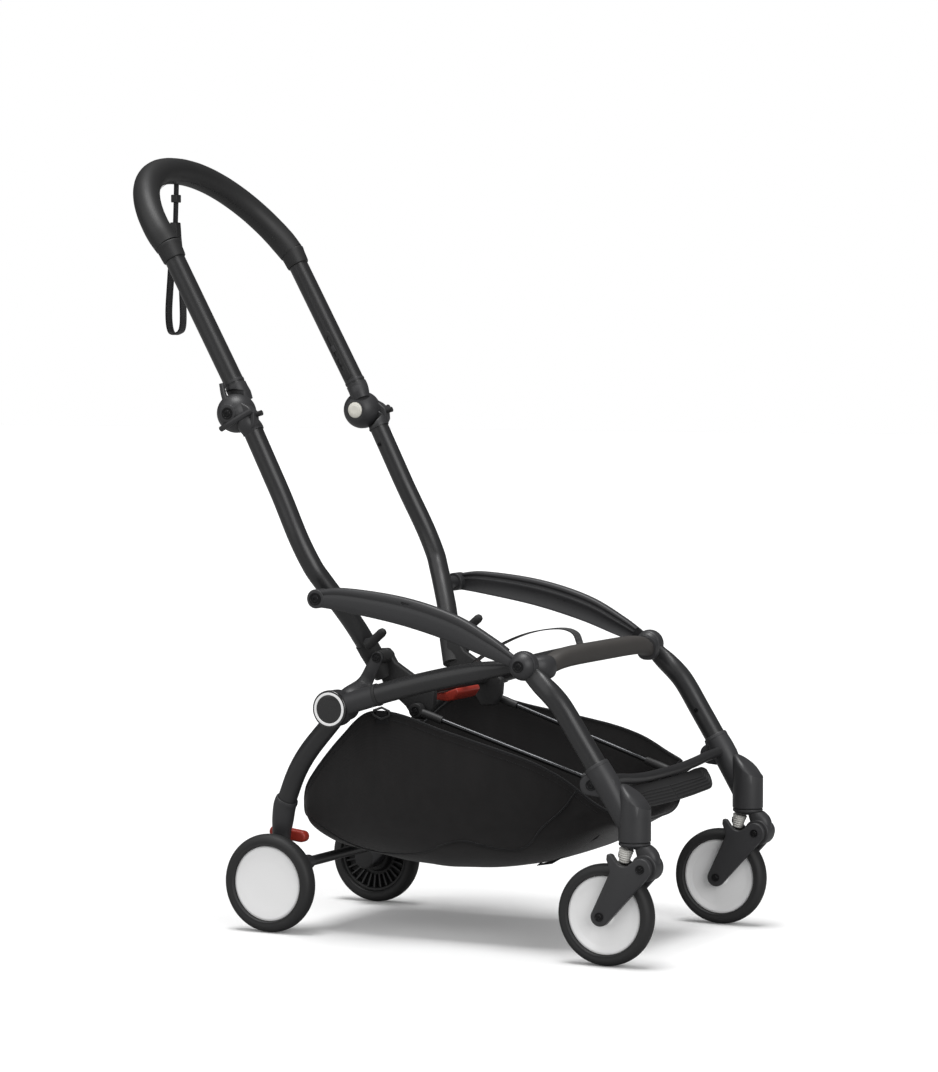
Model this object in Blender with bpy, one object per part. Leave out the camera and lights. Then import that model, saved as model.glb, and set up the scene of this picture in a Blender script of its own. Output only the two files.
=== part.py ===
"""Compact stroller chassis: seat frame, folding legs, casters, handle and basket.

Metres, +Z up, +Y towards the handle, X across. The origin is on the floor under
the middle of the frame. Every piece of a pair is drawn for the left side (+X)
and mirrored to the right.
"""
import bpy
import bmesh
from math import atan2, cos, pi, radians, sin, sqrt
from mathutils import Matrix, Vector

# Clearances and smoothness
GAP = 0.0003
TUBE_SIDES = 10
ROUND_SIDES = 16
WHEEL_SIDES = 20
SMALL_SIDES = 10
ROOM_SIDES = 22

# Pivots, each as (y, z)
HUB = (0.049, 0.314)
SEAT_PIVOT = (-0.2374, 0.3829)
ARM_PIVOT = (0.064, 0.461)
HANDLE_PIVOT = (0.2047, 0.7058)
LINK_PIVOT = (0.014, 0.379)
STRUT_REAR = (-0.037, 0.3085)
STRUT_FRONT = (-0.325, 0.2155)
FORK_PIVOT = (-0.4073, 0.1308)
FRONT_AXLE = (-0.3505, 0.0662)
REAR_AXLE = (0.1688, 0.0672)
CASTER_Y = -0.3897

# Wheels
WHEEL_RADIUS = 0.0672
FRONT_WHEEL_RADIUS = 0.0662
WHEEL_WIDTH = 0.025
DISC_RADIUS = 0.0512
DISC_WIDTH = 0.017
AXLE_RADIUS = 0.004
CASTER_X = 0.1907
REAR_WHEEL_X = 0.1530

# Seat frame
RAIL_X = 0.188
RAIL_RADIUS = 0.011
RAIL_BOW = 0.0045
SLEEVE_END = 0.230
DRUM_RADIUS = 0.0245
DRUM_INNER = 0.1775
DRUM_OUTER = 0.1986
COVER_RADIUS = 0.0253
COVER_THICKNESS = 0.0056
BALL_X = 0.2013
BALL_RADIUS = 0.0195
BALL_INNER_CUT = 0.1916
BALL_SLICE = 0.0167
BALL_OUTER_CUT = BALL_INNER_CUT + BALL_SLICE
CROSSBAR_X = 0.1597
BASKET_WALL = 0.003

# Front legs
LEG_RADIUS = 0.0143
SLEEVE_RADIUS = 0.0168
HOUSING_RADIUS = 0.0210
HOUSING_BOTTOM = 0.1624
HOUSING_TOP = 0.2250
FRONT_BAR_RADIUS = 0.0068
STRUT_ROD_RADIUS = 0.0030
STRUT_SLEEVE_RADIUS = 0.0058

# Rear legs
REAR_LEG_X = 0.1640
REAR_FOOT_X = 0.1268
REAR_LEG_RADIUS = 0.0132
FOOT_TAPER = 0.0023
CROSS_TUBE_RADIUS = 0.0070

# Arms and handle
ARM_INNER = 0.2000
ARM_THICKNESS = 0.0135
TUBE_X = 0.1790
TUBE_RADIUS = 0.0136
TUBE_LEAN = radians(61.0)
LOWER_LEAN = radians(63.2)
TUBE_OFFSET = 0.0127
NECK_LENGTH = 0.0350
BEND_LENGTH = 0.2350
KNUCKLE_RADIUS = 0.0268
KNUCKLE_SPLIT = 0.1777
HANDLE_X = 0.1704
HANDLE_RADIUS = 0.0139
HANDLE_LENGTH = 0.2309
GRIP_COLLAR = 0.0183
GRIP_RADIUS = 0.0176
HOOP_REACH = 0.1025
HOOP_RISE = 0.1301
BUTTON_RADIUS = 0.0118


# Materials

def material(name, colour, roughness, metallic=0.0):
    made = bpy.data.materials.new(name)
    made.use_nodes = True
    shader = made.node_tree.nodes["Principled BSDF"]
    shader.inputs["Base Color"].default_value = (*colour, 1.0)
    shader.inputs["Roughness"].default_value = roughness
    shader.inputs["Metallic"].default_value = metallic
    return made


def materials():
    return {
        "tube": ((0.030, 0.031, 0.033), 0.36, 0.6),
        "casting": ((0.028, 0.028, 0.030), 0.55, 0.0),
        "plastic": ((0.022, 0.022, 0.023), 0.62, 0.0),
        "tyre": ((0.030, 0.030, 0.031), 0.75, 0.0),
        "white": ((0.86, 0.85, 0.82), 0.42, 0.0),
        "cloth": ((0.018, 0.016, 0.015), 0.95, 0.0),
        "grip": ((0.020, 0.020, 0.021), 0.70, 0.0),
        "seat bar": ((0.060, 0.056, 0.053), 0.60, 0.0),
        "red": ((0.26, 0.030, 0.020), 0.45, 0.0),
    }


# Shape helpers

def smooth(points, steps):
    """A Catmull-Rom curve through points, with the same number of steps per span."""
    knots = [Vector(p) for p in points]
    knots = [knots[0] * 2 - knots[1]] + knots + [knots[-1] * 2 - knots[-2]]
    curve = []
    for i in range(1, len(knots) - 2):
        before, start, end, after = knots[i - 1:i + 3]
        for k in range(steps):
            t = k / steps
            curve.append(0.5 * (2 * start + (end - before) * t
                                + (2 * before - 5 * start + 4 * end - after) * t ** 2
                                + (3 * start - before - 3 * end + after) * t ** 3))
    curve.append(knots[-2])
    return curve


def section(sides, squareness):
    """A unit circle that turns into a rounded square as squareness drops below 1."""
    outline = []
    for i in range(sides):
        angle = 2 * pi * (i + 0.5) / sides
        c = cos(angle)
        s = sin(angle)
        x = abs(c) ** squareness * (1 if c > 0 else -1)
        y = abs(s) ** squareness * (1 if s > 0 else -1)
        outline.append((x, y))
    return outline


def skin(mesh, rings, closed=False):
    """Faces between neighbouring rings, and a cap on each end unless closed."""
    count = len(rings)
    for i in range(count if closed else count - 1):
        one = rings[i]
        two = rings[(i + 1) % count]
        for k in range(max(len(one), len(two))):
            a = one[k % len(one)]
            b = one[(k + 1) % len(one)]
            c = two[(k + 1) % len(two)]
            d = two[k % len(two)]
            corners = [a, b, c, d]
            corners = [v for n, v in enumerate(corners) if v not in corners[:n]]
            mesh.faces.new(corners)
    if not closed:
        for ring in (rings[0], rings[-1]):
            if len(ring) > 2:
                mesh.faces.new(ring)


def solid(name, mesh):
    """An object from a closed bmesh, with its faces turned outwards."""
    bmesh.ops.recalc_face_normals(mesh, faces=mesh.faces)
    if mesh.calc_volume(signed=True) < 0:
        bmesh.ops.reverse_faces(mesh, faces=mesh.faces)
    data = bpy.data.meshes.new(name)
    mesh.to_mesh(data)
    mesh.free()
    made = bpy.data.objects.new(name, data)
    bpy.context.scene.collection.objects.link(made)
    return made


def sweep(name, points, radii, sides=TUBE_SIDES, across=(1, 0, 0), squareness=1.0):
    """A round or flattened bar along points; radii holds (across, other way) pairs."""
    path = [Vector(p) for p in points]
    if not isinstance(radii, list):
        radii = [radii] * len(path)
    outline = section(sides, squareness)
    mesh = bmesh.new()
    rings = []
    for i, place in enumerate(path):
        ahead = path[min(i + 1, len(path) - 1)] - path[max(i - 1, 0)]
        ahead.normalize()
        side = Vector(across) - ahead * ahead.dot(Vector(across))
        side.normalize()
        other = ahead.cross(side)
        wide, deep = radii[i] if isinstance(radii[i], tuple) else (radii[i], radii[i])
        rings.append([mesh.verts.new(place + side * (wide * u) + other * (deep * v))
                      for u, v in outline])
    skin(mesh, rings)
    return solid(name, mesh)


def turned(name, centre, axis, profile, sides=ROUND_SIDES, closed=False):
    """A turned solid; profile holds (distance along the axis, radius)."""
    along = Vector(axis).normalized()
    start = Vector((0, 0, 1)) if abs(along.z) < 0.9 else Vector((0, 1, 0))
    one = (start - along * start.dot(along)).normalized()
    two = along.cross(one)
    mesh = bmesh.new()
    rings = []
    for distance, radius in profile:
        hub = Vector(centre) + along * distance
        if radius == 0:
            rings.append([mesh.verts.new(hub)])
            continue
        rings.append([mesh.verts.new(hub + one * (radius * cos(2 * pi * i / sides))
                                     + two * (radius * sin(2 * pi * i / sides)))
                      for i in range(sides)])
    skin(mesh, rings, closed)
    return solid(name, mesh)


def drum(name, pivot, inner, outer, radius, chamfer=0.0, sides=ROUND_SIDES):
    """A disc across the frame, from x = inner to x = outer, around a (y, z) pivot."""
    width = outer - inner
    profile = [(0, 0), (0, radius), (width, radius), (width, 0)]
    if chamfer:
        profile = [(0, 0), (0, radius - chamfer), (chamfer, radius),
                   (width - chamfer, radius), (width, radius - chamfer), (width, 0)]
    return turned(name, (inner, *pivot), (1, 0, 0), profile, sides)


def ball_slice(name, pivot, centre_x, radius, inner, outer, sides=ROUND_SIDES):
    """The part of a ball between two planes across X."""
    steps = 4
    profile = [(inner - centre_x, 0)]
    for i in range(steps + 1):
        x = inner - centre_x + (outer - inner) * i / steps
        reach = radius ** 2 - x ** 2
        if reach > radius ** 2 * 0.01:
            profile.append((x, sqrt(reach)))
    profile.append((outer - centre_x, 0))
    return turned(name, (centre_x, *pivot), (1, 0, 0), profile, sides)


def plate(name, outline, inner, outer, rim=0.0):
    """A flat plate across X with the given (y, z) outline and chamfered rims."""
    mesh = bmesh.new()
    faces = [mesh.faces.new([mesh.verts.new((x, y, z)) for y, z in outline])
             for x in (inner, outer)]
    low, high = faces
    count = len(outline)
    for i in range(count):
        k = (i + 1) % count
        mesh.faces.new((low.verts[i], low.verts[k], high.verts[k], high.verts[i]))
    if rim:
        edges = list(low.edges) + list(high.edges)
        bmesh.ops.bevel(mesh, geom=edges, offset=rim, segments=1, affect='EDGES',
                        clamp_overlap=True)
    return solid(name, mesh)


def arc(centre, radius, start, stop, steps):
    """(y, z) points on a circle, from one angle to another in degrees."""
    turn = [radians(start + (stop - start) * i / steps) for i in range(steps + 1)]
    return [(centre[0] + radius * cos(a), centre[1] + radius * sin(a)) for a in turn]


def capsule_outline(start, end, start_radius, end_radius, steps=6):
    """A (y, z) outline around two circles of different size."""
    heading = atan2(end[1] - start[1], end[0] - start[0])
    distance = sqrt((end[0] - start[0]) ** 2 + (end[1] - start[1]) ** 2)
    lean = (start_radius - end_radius) / distance
    half = pi / 2 - lean
    outline = []
    for i in range(steps + 1):
        angle = heading - half + 2 * half * i / steps
        outline.append((end[0] + end_radius * cos(angle), end[1] + end_radius * sin(angle)))
    for i in range(steps + 1):
        angle = heading + half + 2 * (pi - half) * i / steps
        outline.append((start[0] + start_radius * cos(angle),
                        start[1] + start_radius * sin(angle)))
    return outline


def combine(base, tools, operation):
    """Apply Booleans to base and remove the tools."""
    for tool in tools:
        step = base.modifiers.new(operation.lower(), 'BOOLEAN')
        step.operation = operation
        step.solver = 'EXACT'
        step.object = tool
    graph = bpy.context.evaluated_depsgraph_get()
    shape = bpy.data.meshes.new_from_object(base.evaluated_get(graph))
    base.modifiers.clear()
    base.data = shape
    for tool in tools:
        bpy.data.objects.remove(tool)
    return base


def fuse(base, *tools):
    return combine(base, tools, 'UNION')


def cut(base, *tools):
    return combine(base, tools, 'DIFFERENCE')


def pivot_empty(name, place):
    made = bpy.data.objects.new(name, None)
    made.location = place
    bpy.context.scene.collection.objects.link(made)
    return made


def finish(piece, look, parent):
    """Give a piece its own material, smooth shading and its body's pivot."""
    colour, roughness, metallic = materials()[look]
    piece.data.materials.clear()
    piece.data.materials.append(material(piece.name, colour, roughness, metallic))
    piece.data.shade_smooth()
    piece.data.set_sharp_from_angle(angle=radians(38))
    bpy.context.view_layer.update()
    piece.parent = parent
    piece.matrix_parent_inverse = parent.matrix_world.inverted()
    return piece


def pair(piece, look, parents):
    """Finish a left piece and mirror a copy of it to the right."""
    name = piece.name
    mirrored = piece.data.copy()
    mirrored.transform(Matrix.Scale(-1, 4, (1, 0, 0)))
    mirrored.flip_normals()
    twin = bpy.data.objects.new(name + "_r", mirrored)
    bpy.context.scene.collection.objects.link(twin)
    piece.name = name + "_l"
    finish(piece, look, parents[0])
    finish(twin, look, parents[1])


# Places that several pieces share

def between(one, two, share):
    """A point on the line from one to two, each an (y, z) pair."""
    return (one[0] + (two[0] - one[0]) * share, one[1] + (two[1] - one[1]) * share)


def at(x, pivot):
    return (x, pivot[0], pivot[1])


def tube_point(distance, x=TUBE_X):
    """A point on the leaning tube line; distance is measured up from the knuckle."""
    lean = TUBE_LEAN if distance > 0 else LOWER_LEAN
    y = HANDLE_PIVOT[0] - TUBE_OFFSET * sin(TUBE_LEAN) + distance * cos(lean)
    z = HANDLE_PIVOT[1] + TUBE_OFFSET * cos(TUBE_LEAN) + distance * sin(lean)
    return (x, y, z)


def rail_point(share):
    """A point on the bowed seat rail, from the hub (0) to the seat pivot (1)."""
    y, z = between(HUB, SEAT_PIVOT, share)
    bow = RAIL_BOW * 4 * share * (1 - share)
    return (y, z + bow)


# Seat frame: the body that everything folds around

def seat_rail():
    places = [rail_point(s) for s in (SLEEVE_END, 0.40, 0.58, 0.76, 0.90, 0.99)]
    xs = [RAIL_X, RAIL_X, RAIL_X - 0.0003, RAIL_X - 0.0015, RAIL_X - 0.0035, RAIL_X - 0.004]
    wides = [RAIL_RADIUS] * 3 + [RAIL_RADIUS - 0.001, RAIL_RADIUS - 0.004, RAIL_RADIUS - 0.004]
    deeps = [RAIL_RADIUS] * 4 + [RAIL_RADIUS - 0.0005, RAIL_RADIUS - 0.001]
    points = smooth([at(x, p) for x, p in zip(xs, places)], 2)
    sizes = smooth([(w, d, 0) for w, d in zip(wides, deeps)], 2)
    rail = sweep("seat_rail", points, [(s.x, s.y) for s in sizes])
    room = drum("room", SEAT_PIVOT, RAIL_X - 0.020, RAIL_X + 0.020, BALL_RADIUS + GAP, 0, ROOM_SIDES)
    return cut(rail, room)


def hub_drum():
    body = drum("hub_drum", HUB, DRUM_INNER, DRUM_OUTER, DRUM_RADIUS, 0.001)
    wide = (DRUM_OUTER - DRUM_INNER) / 2 - 0.0001
    middle = (DRUM_OUTER + DRUM_INNER) / 2
    path = [at(middle, rail_point(s)) for s in (0.03, 0.12, SLEEVE_END - 0.0010)]
    sleeve = sweep("sleeve", smooth(path, 2), (wide, RAIL_RADIUS + 0.0010))
    return fuse(body, sleeve)


def hub_cover():
    inner = DRUM_OUTER + GAP
    return drum("hub_cover", HUB, inner, inner + COVER_THICKNESS, COVER_RADIUS, 0.0008, 24)


def seat_knuckle():
    """The seat frame's slice of the knuckle, with the clamp for the front crossbar."""
    body = ball_slice("seat_knuckle", SEAT_PIVOT, BALL_X, BALL_RADIUS,
                      BALL_X - BALL_RADIUS * 0.98, BALL_INNER_CUT + 0.002)
    y, z = SEAT_PIVOT
    clamp = sweep("clamp", [(CROSSBAR_X + GAP, y - 0.013, z - 0.004), (0.168, y - 0.013, z - 0.004),
                            (0.176, y - 0.009, z - 0.003), (0.1885, y - 0.001, z)],
                  [(0.0145, 0.0155), (0.0150, 0.0165), (0.0140, 0.0150), (0.0110, 0.0110)],
                  TUBE_SIDES, (0, 1, 0), 0.75)
    collar = drum("collar", SEAT_PIVOT, 0.1800, BALL_INNER_CUT + 0.001, 0.0135)
    room = drum("room", SEAT_PIVOT, BALL_INNER_CUT, BALL_INNER_CUT + 0.02, 0.05, 0, ROOM_SIDES)
    return cut(fuse(body, clamp, collar), room)


def seat_crossbar():
    """A moulded bar that swells and rises a little between its straight ends."""
    y, z = SEAT_PIVOT
    straight = 0.96
    points = []
    sizes = []
    for share in (-1, -straight, -0.8, -0.5, -0.2, 0.2, 0.5, 0.8, straight, 1):
        swell = max(0.0, 1 - abs(share / straight) ** 4)
        points.append((share * CROSSBAR_X, y - 0.013 - 0.004 * swell, z - 0.004 + 0.007 * swell))
        sizes.append((0.0110 + 0.0028 * swell, 0.0110 + 0.0025 * swell))
    return sweep("seat_crossbar", points, sizes, TUBE_SIDES, (0, 1, 0), 0.8)


def pull_strap():
    y, z = SEAT_PIVOT
    top = z + 0.0170
    points = smooth([(-0.010, -0.052, 0.3530), (-0.020, -0.103, 0.3860), (-0.035, -0.160, 0.4100),
                     (-0.048, y + 0.024, 0.4200), (-0.055, y - 0.004, 0.4160),
                     (-0.058, y - 0.014, top)], 2)
    return sweep("pull_strap", points, (0.010, 0.0009), 8, (1, 0, 0), 0.35)


def basket():
    """The open cloth basket: U-shaped ribs from the rear edge to the front edge."""
    ribs = [  # y, rim height, bottom height, half width, how much higher the left rim is
        (0.145, 0.178, 0.146, 0.098, 0), (0.135, 0.200, 0.130, 0.107, 0),
        (0.106, 0.235, 0.114, 0.116, 0), (0.065, 0.275, 0.106, 0.127, 0),
        (0.028, 0.303, 0.101, 0.135, 0), (-0.020, 0.304, 0.096, 0.138, 0.002),
        (-0.080, 0.287, 0.094, 0.138, 0.008), (-0.150, 0.268, 0.098, 0.136, 0.016),
        (-0.215, 0.249, 0.111, 0.132, 0.024), (-0.262, 0.226, 0.129, 0.126, 0.034),
        (-0.297, 0.200, 0.150, 0.119, 0.044), (-0.325, 0.183, 0.166, 0.110, 0.050)]
    spans = smooth([(y, rim, bottom) for y, rim, bottom, _, _ in ribs], 1)
    widths = [(half, rise) for _, _, _, half, rise in ribs]
    steps = 12
    mesh = bmesh.new()
    layers = []
    for inset in (0.0, BASKET_WALL):
        grid = []
        for span, (width, rise) in zip(spans, widths):
            y, rim, bottom = span
            y = y - inset * 0.6 * (1 if y > -0.1 else -1)
            row = []
            for k in range(steps + 1):
                angle = pi + pi * k / steps
                c = cos(angle)
                s = sin(angle)
                x = (width - inset) * abs(c) ** 0.45 * (1 if c > 0 else -1)
                edge = rim + rise * max(0.0, c)
                z = edge - (edge - bottom - inset) * abs(s) ** 0.45
                row.append(mesh.verts.new((x, y, z)))
            grid.append(row)
        layers.append(grid)
    outer, inner = layers
    rows = len(ribs)
    for grid in layers:
        for i in range(rows - 1):
            for k in range(steps):
                mesh.faces.new((grid[i][k], grid[i][k + 1], grid[i + 1][k + 1], grid[i + 1][k]))
    for i in range(rows - 1):
        for k in (0, steps):
            mesh.faces.new((outer[i][k], outer[i + 1][k], inner[i + 1][k], inner[i][k]))
    for k in range(steps):
        for i in (0, rows - 1):
            mesh.faces.new((outer[i][k], outer[i][k + 1], inner[i][k + 1], inner[i][k]))
    return solid("basket", mesh)


def basket_clip():
    """The webbing that hangs the basket's rim under the rail."""
    y, z = rail_point(0.20)
    low = z - RAIL_RADIUS - 0.0060
    path = [(RAIL_X - 0.002, y, low), (0.170, y + 0.006, low - 0.005), (0.1389, y + 0.012, low - 0.0108)]
    return sweep("basket_clip", smooth(path, 2), (0.009, 0.0010), 8, (0, 1, 0), 0.4)


# Front legs

def leg_path():
    y, z = SEAT_PIVOT
    return [(0.2000, y, z), (0.2005, y - 0.0157, z - 0.0155), (0.2000, y - 0.0490, z - 0.0460),
            (0.1985, y - 0.0775, z - 0.0885), (0.1970, y - 0.1020, z - 0.1265)]


def leg_curve():
    return smooth(leg_path(), 3)


def front_leg():
    path = leg_curve()
    first = 4
    body = ball_slice("front_leg", SEAT_PIVOT, BALL_X, BALL_RADIUS,
                      BALL_INNER_CUT + GAP, BALL_OUTER_CUT - GAP)
    middle = (BALL_INNER_CUT + BALL_OUTER_CUT) / 2
    flat = (BALL_OUTER_CUT - BALL_INNER_CUT) / 2 - 2 * GAP
    points = [Vector((middle, *SEAT_PIVOT)), Vector((middle, path[2].y, path[2].z))]
    sizes = [(flat, 0.010), (flat, LEG_RADIUS - 0.0005)]
    for i, place in enumerate(path[first:]):
        points.append(place)
        sizes.append((flat + 0.001, LEG_RADIUS) if i == 0 else (LEG_RADIUS, LEG_RADIUS))
    tube = sweep("tube", points, sizes, 12)
    return fuse(body, tube)


def front_sleeve():
    """The casting under the tube, with the caster's housing on its front."""
    above, top = leg_curve()[-2:]
    heading = (top - above).normalized()
    start = top + heading * GAP
    bottom = Vector((CASTER_X + 0.001, CASTER_Y + 0.006, HOUSING_BOTTOM + 0.016))
    middle = start + heading * 0.030
    body = sweep("front_sleeve", [start] + smooth([start + heading * 0.010, middle, bottom], 2),
                 [SLEEVE_RADIUS, SLEEVE_RADIUS, SLEEVE_RADIUS, SLEEVE_RADIUS,
                  SLEEVE_RADIUS - 0.002, SLEEVE_RADIUS - 0.004], 12)
    housing = turned("housing", (CASTER_X, CASTER_Y, HOUSING_BOTTOM), (0, 0, 1),
                     [(0, 0), (0, HOUSING_RADIUS), (0.030, HOUSING_RADIUS),
                      (HOUSING_TOP - HOUSING_BOTTOM - 0.008, HOUSING_RADIUS),
                      (HOUSING_TOP - HOUSING_BOTTOM, HOUSING_RADIUS - 0.006),
                      (HOUSING_TOP - HOUSING_BOTTOM, 0)])
    for vertex in housing.data.vertices:
        if vertex.co.z > HOUSING_TOP - 0.012:
            vertex.co.z += (vertex.co.y - CASTER_Y) * 0.75
    lug_place = start + heading * 0.0265
    lug = plate("lug", capsule_outline((lug_place.y, lug_place.z), (lug_place.y + 0.022, lug_place.z),
                                       0.0155, 0.0135), 0.1890, 0.2065, 0.002)
    return fuse(body, housing, lug)


def front_bar():
    y, z = STRUT_FRONT
    ends = (0.1790, y - 0.0250, z + 0.0230)
    half = [ends, (0.150, y - 0.0240, z + 0.0215), (0.100, y - 0.0205, z + 0.0160),
            (0.050, y - 0.0190, z + 0.0130)]
    middle = [(0, y - 0.0185, z + 0.0125)]
    points = [(-x, py, pz) for x, py, pz in half] + middle + half[::-1]
    body = sweep("front_bar", points, FRONT_BAR_RADIUS, TUBE_SIDES, (0, 0, 1))
    for side in (-1, 1):
        tab = plate("tab", capsule_outline((y - 0.020, z + 0.015), STRUT_FRONT, 0.0062, 0.0058, 4),
                    0.0880, 0.0940)
        tab.data.transform(Matrix.Scale(side, 4, (1, 0, 0)))
        if side < 0:
            tab.data.flip_normals()
        body = fuse(body, tab)
        room = front_sleeve()
        room.data.transform(Matrix.Scale(side, 4, (1, 0, 0)))
        if side < 0:
            room.data.flip_normals()
        body = cut(body, room)
    return body


def footrest():
    """A ribbed D-shaped step that hangs from the front bar and slopes forward."""
    y, z = STRUT_FRONT
    top = Vector((0, y - 0.0200, z + 0.0072))
    down = Vector((0, -0.58, -0.81)).normalized()
    face = down.cross(Vector((1, 0, 0))).normalized()
    length = 0.0330
    half = 0.140
    corner = 0.0245
    outline = [(0, 0.0026), (-0.045, 0.0026), (-0.085, 0.0016), (-0.104, 0), (-half + 0.007, 0),
               (-half, 0.007), (-half, length - corner)]
    for i in range(1, 6):
        angle = pi / 2 * i / 6
        outline.append((-half + corner * (1 - cos(angle)), length - corner + corner * sin(angle)))
    outline.append((-half + corner, length))
    outline.append((0, length + 0.003))
    outline += [(-u, v) for u, v in outline[-2:0:-1]]
    mesh = bmesh.new()
    layers = []
    for inset, depth in ((0.0015, -0.003), (0, -0.0015), (0, 0.0015), (0.0015, 0.003)):
        ring = []
        for u, v in outline:
            place = top + Vector((1, 0, 0)) * (u * (1 - inset / half)) + down * v + face * depth
            ring.append(mesh.verts.new(place))
        layers.append(ring)
    skin(mesh, layers)
    return solid("footrest", mesh)


def strut():
    """A thin rod with an eye and a sleeve at each end, inboard of the basket's rim."""
    inner = 0.0943
    front = at(inner + 0.0062, STRUT_FRONT)
    rear = at(0.1165, STRUT_REAR)
    ray = Vector(rear) - Vector(front)
    body = sweep("strut", [Vector(front) + ray * 0.08, Vector(front) + ray * 0.92],
                 STRUT_ROD_RADIUS, 6)
    sleeves = [sweep("sleeve", [Vector(front) + ray * 0.012, Vector(front) + ray * 0.17],
                     STRUT_SLEEVE_RADIUS, 8),
               sweep("sleeve", [Vector(rear) - ray * 0.13, Vector(rear) - ray * 0.012],
                     STRUT_SLEEVE_RADIUS, 8)]
    eyes = [drum("eye", STRUT_FRONT, inner, inner + 0.0105, 0.0062, 0, SMALL_SIDES),
            drum("eye", STRUT_REAR, 0.1093, 0.1215, 0.0078, 0, SMALL_SIDES)]
    return fuse(body, *sleeves, *eyes)


# Casters, forks and wheels

def caster_yoke():
    top = HOUSING_BOTTOM - GAP
    bottom = HOUSING_BOTTOM - 0.0079
    body = turned("caster_yoke", (CASTER_X, CASTER_Y, bottom), (0, 0, 1),
                  [(0, 0), (0, HOUSING_RADIUS - 0.006), (0.0045, HOUSING_RADIUS),
                   (top - bottom, HOUSING_RADIUS), (top - bottom, 0)])
    y, z = FORK_PIVOT
    front = CASTER_Y - 0.0122
    neck = sweep("neck", [(CASTER_X, front, top - 0.004), (CASTER_X, front, bottom),
                          (CASTER_X, y - 0.0015, z + 0.0125), (CASTER_X, y - 0.0010, z)],
                 [(0.0130, 0.0095), (0.0125, 0.0100), (0.0120, 0.0145), (0.0110, 0.0150)],
                 squareness=0.8)
    shoulder = drum("shoulder", FORK_PIVOT, CASTER_X - 0.0128, CASTER_X + 0.0128, 0.0178, 0.0015)
    return fuse(body, neck, shoulder)


def elastomer():
    """The ribbed spring block between the yoke and the fork."""
    foot = Vector((CASTER_X, FRONT_AXLE[0] - 0.0239, FRONT_AXLE[1] + 0.0690))
    head = Vector((CASTER_X, CASTER_Y + 0.0112, HOUSING_BOTTOM - 0.0093))
    height = (head - foot).length
    ribs = 3
    profile = [(0, 0)]
    for i in range(ribs):
        low = height * i / ribs
        high = height * (i + 1) / ribs
        radius = 0.0066 + 0.0034 * (i + 0.5) / ribs
        profile += [(low, radius - 0.0010), (low + 0.0012, radius), (high - 0.0012, radius)]
    profile += [(height, 0.0086), (height, 0)]
    return turned("elastomer", foot, head - foot, profile, SMALL_SIDES)


def cheek_outline():
    """The fork's side: round ends, and a fin above the wheel behind the spring block."""
    y, z = FORK_PIVOT
    down = atan2(FRONT_AXLE[1] - z, FRONT_AXLE[0] - y) * 180 / pi
    outline = arc(FORK_PIVOT, 0.0140, 62, 270 + down, 6)
    outline += arc(FRONT_AXLE, 0.0125, 270 + down, 375, 6)
    return outline + [(y + 0.0430, z - 0.0070), (y + 0.0465, z + 0.0170), (y + 0.0405, z + 0.0165),
                      (y + 0.0300, z + 0.0015), (y + 0.0190, z + 0.0015)]


def caster_fork():
    inner = CASTER_X - 0.0131
    outer = CASTER_X + 0.0131
    cheeks = [plate("caster_fork", cheek_outline(), low, high, 0.0010)
              for low, high in ((inner - 0.0075, inner), (outer, outer + 0.0105))]
    near = WHEEL_RADIUS + 0.0009
    bridge = plate("bridge", arc(FRONT_AXLE, near + 0.0030, 101, 119, 3)
                   + arc(FRONT_AXLE, near, 119, 101, 3), inner - 0.0040, outer + 0.0040)
    pin = drum("pin", FRONT_AXLE, inner - 0.001, outer + 0.001, AXLE_RADIUS, 0, SMALL_SIDES)
    heads = [drum("head", p, outer + 0.0095, outer + 0.0120, 0.0062, 0, SMALL_SIDES)
             for p in (FORK_PIVOT, FRONT_AXLE)]
    return fuse(cheeks[0], cheeks[1], bridge, pin, *heads)


def tyre(name, x, axle, crown):
    """A rounded tyre around a disc; crown is its outer radius."""
    half = WHEEL_WIDTH / 2
    bead = DISC_RADIUS + GAP
    profile = [(-half + 0.003, bead), (half - 0.003, bead), (half, bead + 0.006),
               (half - 0.0030, crown - 0.0045), (half - 0.0085, crown),
               (-half + 0.0085, crown), (-half + 0.0030, crown - 0.0045), (-half, bead + 0.006)]
    return turned(name, at(x, axle), (1, 0, 0), profile, WHEEL_SIDES, closed=True)


def wheel_disc(name, x, axle, capped):
    """A dished disc with a bore for its axle; a capped one hides the axle's end."""
    half = DISC_WIDTH / 2
    bore = AXLE_RADIUS + GAP
    if capped:
        profile = [(half - 0.001, 0), (half, DISC_RADIUS - 0.003), (half - 0.001, DISC_RADIUS),
                   (-half, DISC_RADIUS), (-half + 0.006, DISC_RADIUS - 0.009),
                   (-half + 0.006, 0.020), (-half, 0.017), (-half, bore), (half - 0.008, bore),
                   (half - 0.008, 0)]
        return turned(name, at(x, axle), (1, 0, 0), profile, WHEEL_SIDES)
    profile = [(half + 0.003, bore), (half + 0.003, 0.010), (half - 0.001, 0.014),
               (half, DISC_RADIUS), (-half, DISC_RADIUS),
               (-half + 0.001, 0.014), (-half - 0.003, 0.010), (-half - 0.003, bore)]
    return turned(name, at(x, axle), (1, 0, 0), profile, WHEEL_SIDES, closed=True)


# Rear legs

def rear_leg_path():
    y, z = HUB
    foot = REAR_FOOT_X
    return [(REAR_LEG_X, y, z), (0.1570, y + 0.0215, z - 0.0223), (0.1500, y + 0.0595, z - 0.0624),
            (0.1430, y + 0.0835, z - 0.0949), (foot + 0.0090, y + 0.1035, z - 0.1346),
            (foot + 0.0040, y + 0.1125, z - 0.1631), (foot, y + 0.1168, z - 0.1840)]


def rear_leg_curve():
    return smooth(rear_leg_path()[:5], 2)


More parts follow.
